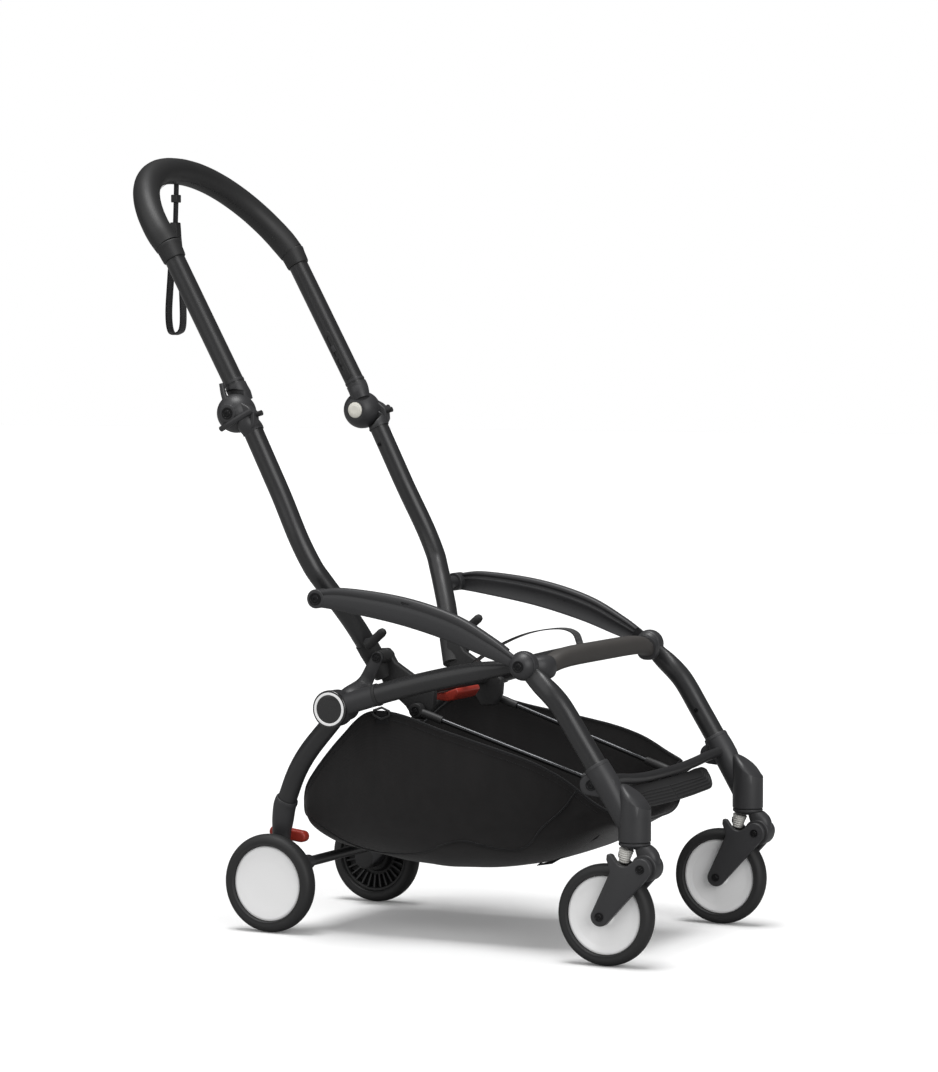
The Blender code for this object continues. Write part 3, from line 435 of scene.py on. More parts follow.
def spread(tree, source, low, high, into):
    """Map a 0 to 1 value to a range and link it to a socket."""
    step = add(tree, "ShaderNodeMapRange")
    step.inputs["To Min"].default_value = low
    step.inputs["To Max"].default_value = high
    tree.links.new(source, step.inputs["Value"])
    tree.links.new(step.outputs["Result"], into)
    return step


def finish_of(name, colour, roughness, metallic=0.0, grain=900.0, grain_depth=0.00002,
              mottling=0.10, wear=0.0, coat=0.0, specular=0.5):
    """A painted, cast or moulded finish: fine grain, uneven gloss and worn edges."""
    made, tree, shader = nodes_of(name)
    place = add(tree, "ShaderNodeTexCoord").outputs["Object"]
    fine = add(tree, "ShaderNodeTexNoise", Scale=grain, Detail=3.0)
    broad = add(tree, "ShaderNodeTexNoise", Scale=22.0, Detail=5.0)
    tree.links.new(place, fine.inputs["Vector"])
    tree.links.new(place, broad.inputs["Vector"])
    mix = add(tree, "ShaderNodeMix", data_type='RGBA')
    mix.inputs[6].default_value = (*[c * (1 - mottling) for c in colour], 1)
    mix.inputs[7].default_value = (*[min(c * (1 + mottling), 1) for c in colour], 1)
    tree.links.new(broad.outputs["Fac"], mix.inputs[0])
    result = mix.outputs[2]
    if wear:
        edge = add(tree, "ShaderNodeNewGeometry").outputs["Pointiness"]
        ramp = add(tree, "ShaderNodeMapRange")
        ramp.inputs["From Min"].default_value = 0.53
        ramp.inputs["From Max"].default_value = 0.62
        ramp.inputs["To Max"].default_value = wear
        worn = add(tree, "ShaderNodeMix", data_type='RGBA')
        worn.inputs[7].default_value = (*[min(c * 3 + 0.02, 1) for c in colour], 1)
        tree.links.new(edge, ramp.inputs["Value"])
        tree.links.new(ramp.outputs["Result"], worn.inputs[0])
        tree.links.new(result, worn.inputs[6])
        result = worn.outputs[2]
    tree.links.new(result, shader.inputs["Base Color"])
    spread(tree, broad.outputs["Fac"], roughness - 0.05, roughness + 0.05,
           shader.inputs["Roughness"])
    shader.inputs["Metallic"].default_value = metallic
    shader.inputs["Coat Weight"].default_value = coat
    shader.inputs["Specular IOR Level"].default_value = specular
    relief = add(tree, "ShaderNodeBump", Distance=grain_depth, Strength=0.6)
    tree.links.new(fine.outputs["Fac"], relief.inputs["Height"])
    tree.links.new(relief.outputs["Normal"], shader.inputs["Normal"])
    return made


def woven(name, colour, thread=0.0006, depth=0.00006, sheen=0.25, rib=False):
    """Cloth woven along the piece's own UV map, which is in metres."""
    made, tree, shader = nodes_of(name)
    place = add(tree, "ShaderNodeUVMap").outputs["UV"]
    turns = 0.31416 / thread
    warp = add(tree, "ShaderNodeTexWave", Scale=turns, Distortion=0.6, Detail=1.0)
    warp.bands_direction = 'X'
    weft = add(tree, "ShaderNodeTexWave", Scale=turns * (0.45 if rib else 1.0), Distortion=0.6,
               Detail=1.0)
    weft.bands_direction = 'Y'
    cross = add(tree, "ShaderNodeMath", operation='MULTIPLY')
    for source, socket in ((warp, 0), (weft, 1)):
        tree.links.new(place, source.inputs["Vector"])
        tree.links.new(source.outputs["Fac"], cross.inputs[socket])
    fuzz = add(tree, "ShaderNodeTexNoise", Scale=55.0, Detail=8.0)
    tree.links.new(place, fuzz.inputs["Vector"])
    blend = add(tree, "ShaderNodeMath", operation='MULTIPLY_ADD')
    blend.inputs[1].default_value = 0.6 if rib else 0.12
    tree.links.new(cross.outputs[0], blend.inputs[0])
    tree.links.new(fuzz.outputs["Fac"], blend.inputs[2])
    tint = add(tree, "ShaderNodeMix", data_type='RGBA')
    tint.inputs[6].default_value = (*[c * 0.62 for c in colour], 1)
    tint.inputs[7].default_value = (*[c * 1.25 for c in colour], 1)
    ease = add(tree, "ShaderNodeMapRange")
    ease.inputs["From Max"].default_value = 1.1
    tree.links.new(blend.outputs[0], ease.inputs["Value"])
    tree.links.new(ease.outputs["Result"], tint.inputs[0])
    tree.links.new(tint.outputs[2], shader.inputs["Base Color"])
    shader.inputs["Roughness"].default_value = 0.92
    shader.inputs["Specular IOR Level"].default_value = 0.2
    shader.inputs["Sheen Weight"].default_value = sheen
    shader.inputs["Sheen Roughness"].default_value = 0.5
    relief = add(tree, "ShaderNodeBump", Distance=depth, Strength=0.8)
    tree.links.new(cross.outputs[0], relief.inputs["Height"])
    tree.links.new(relief.outputs["Normal"], shader.inputs["Normal"])
    return made


MATERIALS = {}


def make_materials(colours):
    """Every finish of the chassis, by its plain name."""
    metal = tuple(colours.frame)
    mould = tuple(colours.moulding)
    cast = tuple(colours.casting)
    made = {
        "tube": finish_of("satin black tube", metal, 0.36, 0.0, 1400, 0.00001, 0.06, 0.10,
                          0.0, 0.6),
        "casting": finish_of("black casting", cast, 0.46, 0.0, 900, 0.00003, 0.10, 0.12, 0.0, 0.5),
        "moulding": finish_of("black moulding", mould, 0.55, 0.0, 700, 0.00004, 0.12, 0.10),
        "gloss": finish_of("gloss black cap", mould, 0.18, 0.0, 300, 0.000004, 0.05, 0.0, 0.4),
        "bolt": finish_of("blackened bolt", metal, 0.32, 0.8, 1200, 0.00001, 0.15, 0.3),
        "rod": finish_of("dark steel rod", (0.060, 0.061, 0.064), 0.30, 0.9, 1500, 0.000004, 0.05),
        # The near-black finish is painted shade: it darkens the arm's slot and holes where an opening would
        # fall into shadow.
        "painted_shade": finish_of("painted hole shade", (0.006, 0.006, 0.006), 0.7, 0.0, 600, 0.00002),
        "tyre": finish_of("foam tyre", tuple(colours.tyre), 0.62, 0.0, 420, 0.00008, 0.10),
        "white": finish_of("white wheel", tuple(colours.white), 0.40, 0.0, 500, 0.00001, 0.015),
        "button": finish_of("cream button", (0.82, 0.80, 0.72), 0.30, 0.0, 300, 0.00001, 0.02,
                            0.0, 0.2),
        "spring": finish_of("white spring rubber", (0.78, 0.77, 0.73), 0.5, 0.0, 300, 0.00003, 0.04),
        "red": finish_of("red moulding", tuple(colours.red), 0.42, 0.0, 600, 0.00003, 0.08, 0.05),
        "seat bar": finish_of("soft seat bar", tuple(colours.seat_bar), 0.62, 0.0, 500, 0.00005, 0.10),
        "rubber": finish_of("rubber bumper", mould, 0.70, 0.0, 350, 0.00005, 0.10),
        "grip": finish_of("soft grip skin", mould, 0.52, 0.0, 520, 0.00010, 0.08),
        "cloth": woven("basket cloth", tuple(colours.cloth)),
        "webbing": woven("strap webbing", (0.010, 0.010, 0.011), 0.0011, 0.0002, 0.2, True),
    }
    MATERIALS.clear()
    MATERIALS.update(made)


# Finishing a piece

def finish(piece, look, body, *stood_for, angle=38, slot=None):
    """Place in the mesh, soft shading, finish, body and the solids it stands for."""
    only(piece)
    bpy.ops.object.transform_apply(location=True, rotation=True, scale=True)
    bpy.ops.object.shade_smooth_by_angle(angle=radians(angle))
    piece.data.materials.clear()
    piece.data.materials.append(MATERIALS[look])
    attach(piece, body)
    if stood_for:
        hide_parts(*stood_for)
    return piece


def mirrored(piece, name):
    """A copy on the other side of the frame, with its own mesh."""
    only(piece)
    bpy.ops.object.duplicate()
    twin = bpy.context.object
    twin.name = name
    bpy.ops.object.mode_set(mode='EDIT')
    bpy.ops.mesh.select_all(action='SELECT')
    bpy.ops.transform.resize(value=(-1, 1, 1), center_override=(0, 0, 0))
    bpy.ops.mesh.flip_normals()
    bpy.ops.object.mode_set(mode='OBJECT')
    return twin


def both(piece, look, body, *stood_for, sides=False, angle=38):
    """Finish a left piece and its mirrored twin; sides says the body has one per side."""
    name = piece.name
    only(piece)
    bpy.ops.object.transform_apply(location=True, rotation=True, scale=True)
    twin = mirrored(piece, name + "_r")
    piece.name = name + "_l"
    for made, side in ((piece, "_l"), (twin, "_r")):
        finish(made, look, body + side if sides else body,
               *[node + side for node in stood_for], angle=angle)
    return piece, twin


def lay_uv(piece, across, along):
    """A UV map in metres from two functions of a vertex place."""
    layer = piece.data.uv_layers.new(name="weave") if not piece.data.uv_layers \
        else piece.data.uv_layers[0]
    for loop in piece.data.loops:
        place = piece.data.vertices[loop.vertex_index].co
        layer.data[loop.index].uv = (across(place), along(place))


def bolt_head(name, pivot, face, radius, outward=1):
    """A low bolt head with a ring and a hexagon socket, standing on a face across X."""
    height = 0.0011
    profile = rounded([(0, 0), (0, radius), (height, radius), (height, radius * 0.78),
                       (height * 0.45, radius * 0.74), (height * 0.45, radius * 0.56),
                       (height * 1.1, radius * 0.50), (height * 1.1, 0)], 0.0003, 2)
    profile = [(d * outward, r) for d, r in profile]
    head = turned(name, at(face, pivot), (1, 0, 0), profile, 40)
    socket = turned("socket", at(face + outward * height * 0.4, pivot), (1, 0, 0),
                    [(0, 0), (0, radius * 0.26), (outward * height, radius * 0.26),
                     (outward * height, 0)], 6)
    return carved(head, socket)


# Handle and its knuckles

def make_handle_tubes(sizes):
    """The two straight handle tubes with a stop ring and the latch on their inner side."""
    tube = line("straight_tube", [tube_point(NECK_LENGTH + GAP, HANDLE_X),
                                tube_point(HANDLE_LENGTH * 0.5, HANDLE_X),
                                tube_point(HANDLE_LENGTH - GAP, HANDLE_X)], sizes.handle_radius,
                sides=40)
    both(tube, "tube", "handle", "handle_tube")
    ahead = Vector((0, cos(TUBE_LEAN), sin(TUBE_LEAN)))
    aside = Vector((0, sin(TUBE_LEAN), -cos(TUBE_LEAN)))
    face = HANDLE_X - sizes.handle_radius

    def spot(distance, offset=0.0):
        place = tube_point(distance, HANDLE_X) + aside * offset
        return (place.y, place.z)
    body = plate("handle_latch", capsule(spot(0.050, 0.001), spot(0.116, 0.001), 0.0062, 0.0056),
                 face + 0.0040, face - 0.0008, 0.0006)
    slots = [plate("slot", capsule(spot(0.083, 0.001), spot(0.111, 0.001), 0.0026, 0.0026),
                   face + 0.0012, face - 0.0030, 0),
             plate("slot", capsule(spot(0.061, 0.001), spot(0.074, 0.001), 0.0030, 0.0030),
                   face + 0.0012, face - 0.0030, 0)]
    carved(body, *slots)
    both(body, "moulding", "handle")
    slider = plate("latch_slider", [spot(0.0885, -0.0018), spot(0.0985, -0.0018),
                                    spot(0.0985, 0.0038), spot(0.0885, 0.0038)],
                   face + 0.0013, face - 0.0016, 0.0005)
    both(slider, "casting", "handle")
    screw = bolt_head("latch_screw", spot(0.0665, 0.001), face + 0.0011, 0.0024, -1)
    both(screw, "bolt", "handle")
    ring = turned("stop_ring", tube_point(NECK_LENGTH + 0.003, HANDLE_X), ahead,
                  rounded([(0, 0.0120), (0, sizes.handle_radius + 0.0007),
                           (0.0035, sizes.handle_radius + 0.0007), (0.0035, 0.0120)], 0.0004), 48)
    both(ring, "casting", "handle")


def hoop_places(steps):
    """Places on the hoop from the left collar over the top, and the share of each."""
    start = tube_point(GRIP_START, HANDLE_X)
    control = start + Vector((0, cos(TUBE_LEAN), sin(TUBE_LEAN))) * 0.060 + Vector((0, 0.015, 0))
    half = []
    for i in range(steps + 1):
        angle = pi / 2 * i / steps
        t = sin(angle)
        y = (1 - t) ** 2 * start.y + 2 * t * (1 - t) * control.y + t ** 2 * GRIP_APEX[0]
        z = (1 - t) ** 2 * start.z + 2 * t * (1 - t) * control.z + t ** 2 * GRIP_APEX[1]
        half.append(Vector((HANDLE_X * max(cos(angle), 0.0) ** 0.92, y, z)))
    return half + [Vector((-p.x, p.y, p.z)) for p in half[-2::-1]]


def make_grip(sizes):
    """The padded hoop with its inner seam, and a moulded collar on each tube."""
    places = hoop_places(9)
    lift = (places[1] - places[0]).normalized()
    first = places[0] + lift * 0.004
    body = [first] + places[1:-1] + [Vector((-first.x, first.y, first.z))]
    scale = [0.98, 1.02] + [1.01] * (len(body) - 4) + [1.02, 0.98]
    grip = line("grip_skin", body, sizes.grip_radius, scale, 40, 10)
    finish(grip, "grip", "handle", "handle_grip")
    collar = turned("grip_collar", tube_point(HANDLE_LENGTH, HANDLE_X),
                    (0, cos(TUBE_LEAN), sin(TUBE_LEAN)),
                    rounded([(0, 0.0130), (0, 0.0158), (0.003, 0.0163), (0.017, 0.0172),
                             (0.0205, 0.0178), (0.0230, 0.0178), (0.0245, 0.0166),
                             (0.0245, 0.0130)], 0.0012), 56)
    both(collar, "moulding", "handle")
    inner = []
    for place in hoop_places(16):
        inner.append(place + (HOOP_MIDDLE - place).normalized() * sizes.grip_radius)
    inner = inner[1:-1]
    seam = line("grip_seam", inner, 0.0006, sides=8, resolution=4)
    finish(seam, "moulding", "handle")
    stitches = []
    path = curve_through(inner, 6)
    for i in range(4, len(path) - 4, 2):
        if abs(path[i].x) < 0.020:
            continue
        heading = (path[i + 1] - path[i]).normalized()
        aside = heading.cross(Vector((0, 1, -0.3))).normalized()
        lift = (HOOP_MIDDLE - path[i]).normalized() * 0.0002
        stitches.append(line("stitch", [path[i] - aside * 0.0026, path[i] + lift,
                                        path[i] + aside * 0.0026], 0.00045, sides=6, resolution=2))
    thread = joined(*stitches)
    thread.name = "grip_stitches"
    finish(thread, "webbing", "handle")
    lay_uv(thread, lambda p: p.x, lambda p: p.z)


def make_outer_knuckle(sizes):
    """The outer ball half with its neck, ring, lug, guard bar and peg."""
    y, z = HANDLE_PIVOT
    split = KNUCKLE_SPLIT + GAP
    end = KNUCKLE_SPLIT + KNUCKLE_RADIUS * 0.90
    ball = ball_slice("outer_knuckle", HANDLE_PIVOT, KNUCKLE_SPLIT, KNUCKLE_RADIUS, split, end)
    neck = line("neck", [tube_point(-0.012, 0.1880), tube_point(-0.022, 0.1855),
                         tube_point(-NECK_LENGTH + 0.004), tube_point(-NECK_LENGTH)],
                0.0151, [0.80, 0.97, 1.0, 0.99], 40)
    combined(ball, neck, 'UNION')
    cap = drum("cap", HANDLE_PIVOT, end - 0.003, end + 0.0014, 0.0120, 0.0012)
    combined(ball, cap, 'UNION')
    room = drum("room", HANDLE_PIVOT, 0.1400, split, 0.0330, 0, 20)
    carved(ball, room)
    both(ball, "casting", "uprights", "upright_knuckle")
    both(bolt_head("knuckle_bolt", HANDLE_PIVOT, end + 0.0012, 0.0082), "bolt", "uprights")
    outline = [(y - 0.0335, z - 0.0205), (y - 0.0190, z - 0.0205), (y - 0.0150, z + 0.0150),
               (y - 0.0260, z + 0.0098), (y - 0.0362, z + 0.0020), (y - 0.0372, z - 0.0130)]
    lug = plate("knuckle_lug", outline, 0.1800, 0.1950, 0.0022, 4)
    groove = plate("groove", [(y - 0.0320, z - 0.0150), (y - 0.0300, z - 0.0150),
                              (y - 0.0300, z + 0.0020), (y - 0.0320, z + 0.0020)], 0.1935, 0.1970, 0)
    both(carved(lug, groove), "casting", "uprights")
    bar = line("guard_bar", [(0.1975, y + 0.0130, z - 0.0215), (0.2005, y - 0.001, z - 0.0145),
                             (0.1992, y - 0.018, z - 0.0050), (0.1950, y - 0.034, z + 0.0045)],
               0.0042, [0.9, 1, 1, 0.9], 20)
    both(bar, "casting", "uprights")
    peg = line("knuckle_peg", [(0.1900, y + 0.008, z + 0.014), (0.1900, y + 0.0125, z + 0.024),
                               (0.1900, y + 0.0165, z + 0.040)], 0.0040, [1.25, 1.0, 0.82], 20)
    both(peg, "casting", "uprights")
    stud = line("knuckle_stud", [(0.1860, y - 0.030, z - 0.003), (0.1860, y - 0.044, z + 0.001)],
                0.0034, [1.0, 1.1], 20)
    both(stud, "rubber", "uprights")


def make_inner_knuckle(sizes):
    """The inner ball half with the neck of the handle tube and the release button."""
    split = KNUCKLE_SPLIT - GAP
    end = KNUCKLE_SPLIT - KNUCKLE_RADIUS * 0.86
    ball = ball_slice("inner_knuckle", HANDLE_PIVOT, KNUCKLE_SPLIT, KNUCKLE_RADIUS, end, split)
    neck = line("neck", [tube_point(0.010, 0.1660), tube_point(0.020, 0.1675),
                         tube_point(NECK_LENGTH - 0.005, HANDLE_X), tube_point(NECK_LENGTH, HANDLE_X)],
                0.0149, [0.80, 0.96, 1.0, 1.0], 40)
    combined(ball, neck, 'UNION')
    room = drum("room", HANDLE_PIVOT, split, 0.2100, 0.0330, 0, 20)
    pocket = drum("pocket", HANDLE_PIVOT, 0.1400, 0.1640, 0.0121, 0, 48)
    carved(ball, room, pocket)
    both(ball, "casting", "handle", "handle_knuckle")
    profile = [(0, 0), (-0.0003, 0.006), (0.0006, 0.0098), (0.0020, 0.0116), (0.0030, 0.0118),
               (0.0064, 0.0118), (0.0064, 0)]
    button = turned("release_button", at(0.1536, HANDLE_PIVOT), (1, 0, 0),
                    rounded(profile, 0.001), 56)
    both(button, "button", "button", "handle_button", sides=True)


# Uprights, arms and links

def make_uprights(sizes):
    """The long bent tubes with a rivet near the top, the arm pivot and the bumper."""
    y, z = ARM_PIVOT
    path = [tube_point(-NECK_LENGTH - GAP), tube_point(-BEND_LENGTH * 0.5), tube_point(-BEND_LENGTH),
            (0.1690, y + 0.0120, z + 0.0190), (0.1524, y - 0.0040, z - 0.0110),
            (0.1362, y - 0.0187, z - 0.0410), (0.1230, y - 0.0283, z - 0.0655)]
    tube = line("upright", path, sizes.tube_radius, sides=40, resolution=12)
    both(tube, "tube", "uprights", "upright_tube")
    rivet = bolt_head("upright_rivet", (0.1700, 0.6565), TUBE_X - sizes.tube_radius + 0.0006, 0.0030, -1)
    both(rivet, "bolt", "uprights")
    spigot = drum("arm_spigot", ARM_PIVOT, 0.1600, 0.1897, 0.0090, 0.0006)
    both(spigot, "casting", "uprights")
    middle = Vector((0.1440, LINK_PIVOT[0] - 0.0030, LINK_PIVOT[1] + 0.0260))
    lean = Vector((0, -0.76, 0.65))
    bumper = line("link_bumper", [middle + lean * d for d in
                                  (-0.0190, -0.0172, -0.0130, 0, 0.0130, 0.0172, 0.0190)],
                  0.0062, [0.35, 0.78, 1, 1, 1, 0.78, 0.35], 28)
    both(bumper, "rubber", "uprights")
    stem = line("bumper_stem", [middle - lean * 0.004, middle - lean * 0.004
                                + Vector((-0.0120, 0.0200, -0.0040))], 0.0050, sides=16)
    both(stem, "casting", "uprights")


def arm_line():
    """Middle and depth of the arm, from its rear pivot to the seat knuckle."""
    y, z = SEAT_PIVOT
    ay, az = ARM_PIVOT
    places = curve_through([(0, ay, az), (0, ay - 0.040, az - 0.0005), (0, ay - 0.125, az - 0.0123),
                            (0, ay - 0.199, az - 0.0318), (0, y + 0.047, z + 0.0225),
                            (0, y + 0.012, z + 0.0058)], 8)
    depths = curve_through([(d, 0, 0) for d in (0.0112, 0.0158, 0.0185, 0.0181, 0.0138, 0.0080)], 8)
    return places, [d.x for d in depths]


def arm_section(depth):
    """Half outline of the arm: (offset outwards, height) with a top rib over a hollow."""
    thick = (ARM_OUTER - ARM_INNER) / 2
    outer = [(0.10, -1.00), (0.62, -0.96), (0.90, -0.80), (1.00, -0.45), (1.00, 0.00),
             (0.93, 0.26), (0.80, 0.36), (0.78, 0.42), (0.92, 0.48), (1.00, 0.62), (0.98, 0.80),
             (0.80, 0.93), (0.45, 1.00)]
    inner = [(-0.45, 1.00), (-0.85, 0.95), (-1.00, 0.84), (-1.00, 0.70), (-0.72, 0.64),
             (-0.62, 0.56), (-0.66, 0.44), (-0.98, 0.40), (-1.00, 0.24), (-0.70, 0.12),
             (-0.60, -0.20), (-0.66, -0.70), (-0.96, -0.84), (-0.96, -0.94), (-0.60, -1.00)]
    return [(u * thick, v * depth) for u, v in outer + inner]


def make_arms(sizes):
    """The curved side arms: a rib along the top, a hollow inner side, bosses and bolts."""
    places, depths = arm_line()
    middle = (ARM_INNER + ARM_OUTER) / 2
    rings = []
    for i, (place, depth) in enumerate(zip(places, depths)):
        ahead = places[min(i + 1, len(places) - 1)] - places[max(i - 1, 0)]
        ahead.normalize()
        up = Vector((0, -ahead.z, ahead.y))
        if up.z < 0:
            up = -up
        rings.append([Vector((middle + u, place.y, place.z)) + up * v for u, v in arm_section(depth)])
    arm = lofted("side_arm", rings)
    room = drum("room", SEAT_PIVOT, 0.1800, BALL_OUTER_CUT + GAP, 0.0290, 0, 24)
    slot = plate("slot", capsule((-0.066, 0.4590), (-0.074, 0.4570), 0.0017, 0.0017, 6),
                 0.2110, 0.2160, 0)
    carved(arm, room, slot)
    bevel(arm, 0.0004, 1, 50)
    both(arm, "casting", "arms", "arm", angle=50)
    boss = drum("arm_boss", ARM_PIVOT, 0.1900, ARM_OUTER + 0.0004, 0.0128, 0.0014)
    both(boss, "casting", "arms")
    both(bolt_head("arm_bolt", ARM_PIVOT, ARM_OUTER + 0.0004, 0.0086), "bolt", "arms")
    cap = ball_slice("arm_cap", SEAT_PIVOT, BALL_X, BALL_RADIUS, BALL_OUTER_CUT + GAP,
                     BALL_X + BALL_RADIUS * 0.90)
    both(cap, "casting", "arms")
    both(bolt_head("arm_cap_bolt", SEAT_PIVOT, BALL_X + BALL_RADIUS * 0.90 - 0.0002, 0.0078),
         "bolt", "arms")
    # The slot plate and the last two hole discs are painted shade. They are near-black sheets on the arm's
    # hollow side that stand in for openings that are not cut; the first hole disc keeps the arm's own
    # finish.
    slot_shade = plate("arm_slot_shade", capsule((-0.085, 0.4585), (-0.099, 0.4550), 0.0030, 0.0030, 8),
                    0.2022, 0.2035, 0.0004)
    both(slot_shade, "painted_shade", "arms")
    for i, (py, pz) in enumerate(((-0.086, 0.4455), (-0.096, 0.4430), (-0.106, 0.4400))):
        hole = drum(f"arm_hole_{i}", (py, pz), 0.2022, 0.2030, 0.0026, 0.0002, 20)
        both(hole, "painted_shade" if i else "casting", "arms")


def make_links(sizes):
    """The feet of the uprights, the crossbar between them and the red lever."""
    top = Vector((0.1230, ARM_PIVOT[0] - 0.0283, ARM_PIVOT[1] - 0.0655))
    heading = Vector((-0.42, -0.30, -0.86)).normalized()
    inner = 0.0965
    outer = 0.1090 - GAP
    collar = line("foot_collar", [top - heading * 0.002, top + heading * 0.012, top + heading * 0.050],
                  0.0150, [1.0, 1.0, 0.88], 40)
    both(collar, "moulding", "uprights")
    sy, sz = STRUT_REAR
    ly, lz = LINK_PIVOT
    outline = [(ly + 0.013, lz + 0.010), (ly - 0.002, lz + 0.011), (ly - 0.014, lz - 0.008),
               (sy - 0.022, sz + 0.026), (sy - 0.020, sz + 0.004), (sy - 0.010, sz - 0.012),
               (sy + 0.010, sz - 0.013), (sy + 0.022, sz + 0.004), (ly + 0.004, lz - 0.040),
               (ly + 0.013, lz - 0.020)]
    web = plate("foot_web", outline, inner, outer, 0.0030, 4)
    boss = drum("boss", LINK_PIVOT, inner + 0.002, 0.1298, 0.0088, 0.0006)
    combined(web, boss, 'UNION')
    both(web, "moulding", "uprights", "upright_foot")
    both(bolt_head("link_bolt", LINK_PIVOT, 0.1355, 0.0068), "bolt", "rear_legs")
    both(bolt_head("foot_bolt", (sy + 0.020, sz + 0.020), inner, 0.0052, -1), "bolt", "uprights")
    end = 0.0965 - GAP
    shape = oval(0.0107, 0.0080, 0.25)
    bar = line("foot_bar", [(-end, sy + 0.010, sz + 0.026), (0, sy + 0.010, sz + 0.026),
                            (end, sy + 0.010, sz + 0.026)], 1.0, profile=shape)
    discard(shape)
    finish(bar, "moulding", "uprights", "foot_crossbar")
    lever = plate("release_lever",
                  [(sy + 0.019, sz + 0.0156), (sy + 0.003, sz + 0.0156), (sy - 0.008, sz + 0.0202),
                   (sy - 0.018, sz + 0.0240), (sy - 0.0205, sz + 0.0180), (sy - 0.013, sz + 0.0080),
                   (sy - 0.004, sz + 0.0050), (sy + 0.016, sz + 0.0070)], -0.034, 0.034, 0.0022, 4)
    finish(lever, "red", "lever", "fold_lever")


# Seat frame

def make_seat_rails(sizes):
    """The bowed rails, the hub drums with their sleeves, and the ringed hub covers."""
    shares = (0.10, SLEEVE_END, 0.40, 0.58, 0.74, 0.86, 0.93)
    rail = line("seat_tube", [at(x, rail_point(s)) for s, x in
                              zip(shares, (0.188, 0.188, 0.188, 0.1877, 0.1868, 0.1853, 0.1842))],
                RAIL_RADIUS, [0.9, 1, 1, 1, 0.94, 0.74, 0.55], 40, 10)
    both(rail, "tube", "seat_frame", "seat_rail")
    body = drum("hub_housing", HUB, 0.1775, 0.1986, 0.0245, 0.0014, 64)
    both(body, "casting", "seat_frame", "hub_drum")
    sleeve = line("rail_sleeve", [at(RAIL_X, rail_point(s)) for s in (0.02, 0.12, SLEEVE_END - 0.002)],
                  RAIL_RADIUS + 0.0006, sides=40)
    both(sleeve, "casting", "seat_frame")
    y, z = rail_point(SLEEVE_END)
    ahead = (at(RAIL_X, rail_point(SLEEVE_END)) - at(RAIL_X, rail_point(0.20))).normalized()
    band = turned("rail_band", at(RAIL_X, (y, z)) - ahead * 0.0035, ahead,
                  rounded([(0, 0.0130), (0, 0.0152), (0.0045, 0.0152), (0.0045, 0.0130)], 0.0006), 48)
    both(band, "moulding", "seat_frame")
    face = 0.1989
    cover = turned("hub_cap", at(face, HUB), (1, 0, 0),
                   rounded([(0, 0), (0, 0.0251), (0.0040, 0.0251), (0.0052, 0.0240),
                            (0.0052, 0.0226), (0.0046, 0.0220), (0.0046, 0.0008), (0.0046, 0)],
                           0.0006), 96)
    both(cover, "gloss", "seat_frame", "hub_cover")
    ring = turned("hub_ring", at(face + 0.0040, HUB), (1, 0, 0),
                  rounded([(0, 0.0190), (0.0016, 0.0190), (0.0016, 0.0223), (0, 0.0223),
                           (0, 0.0190)], 0.0003), 96)
    both(ring, "white", "seat_frame")
    plate_in = drum("hub_centre", HUB, face + 0.0040, face + 0.0050, 0.0184, 0.0004, 64)
    both(plate_in, "gloss", "seat_frame")


def make_seat_front(sizes):
    """The seat knuckle slices, their clamps and the soft bar between them."""
    y, z = SEAT_PIVOT
    part = ball_slice("seat_joint", SEAT_PIVOT, BALL_X, BALL_RADIUS,
                      BALL_X - BALL_RADIUS * 0.95, BALL_INNER_CUT)
    both(part, "casting", "seat_frame", "seat_knuckle")
    collar = drum("seat_collar", SEAT_PIVOT, 0.1780, 0.1850, 0.0138, 0.0012)
    both(collar, "casting", "seat_frame")
    shape = oval(0.0145, 0.0155, 0.22)
    clamp = line("bar_clamp", [(CROSSBAR_X + GAP, y - 0.0130, z - 0.0040), (0.1680, y - 0.0130, z - 0.0040),
                               (0.1755, y - 0.0100, z - 0.0030), (0.1835, y - 0.0040, z - 0.0010)],
                 1.0, [1.0, 1.04, 0.98, 0.80], profile=shape)
    discard(shape)
    both(clamp, "casting", "seat_frame")
    rings = []
    steps = 60
    for i in range(steps + 1):
        share = -1 + 2 * i / steps
        swell = max(0.0, 1 - abs(share / 0.97) ** 6) ** 0.8
        mid = Vector((share * CROSSBAR_X, y - 0.013 - 0.004 * swell, z - 0.004 + 0.0095 * swell))
        wide = 0.0110 + 0.0028 * swell
        deep = 0.0110 + 0.0026 * swell
        ring = []
        for k in range(32):
            angle = 2 * pi * k / 32
            c, s = cos(angle), sin(angle)
            bulge = 0.72
            u = abs(c) ** bulge * (1 if c > 0 else -1)
            v = abs(s) ** bulge * (1 if s > 0 else -1)
            crown = 1.0 if v > 0 else 0.92
            ring.append(mid + Vector((0, wide * u, deep * v * crown)))
        rings.append(ring)
    bar = lofted("seat_bar", rings)
    finish(bar, "seat bar", "seat_frame", "seat_crossbar", angle=60)


def bar_rings(points, sizes, sides=36, across=(1, 0, 0), squareness=1.0):
    """Rings of a bar whose sections are (across, other way) ovals along points."""
    path = [Vector(p) for p in points]
    rings = []
    for i, place in enumerate(path):
        ahead = (path[min(i + 1, len(path) - 1)] - path[max(i - 1, 0)]).normalized()
        side = Vector(across) - ahead * ahead.dot(Vector(across))
        side.normalize()
        other = ahead.cross(side)
        wide, deep = sizes[i]
        ring = []
        for k in range(sides):
            angle = 2 * pi * (k + 0.5) / sides
            u = abs(cos(angle)) ** squareness * (1 if cos(angle) > 0 else -1)
            v = abs(sin(angle)) ** squareness * (1 if sin(angle) > 0 else -1)
            ring.append(place + side * (wide * u) + other * (deep * v))
        rings.append(ring)
    return rings


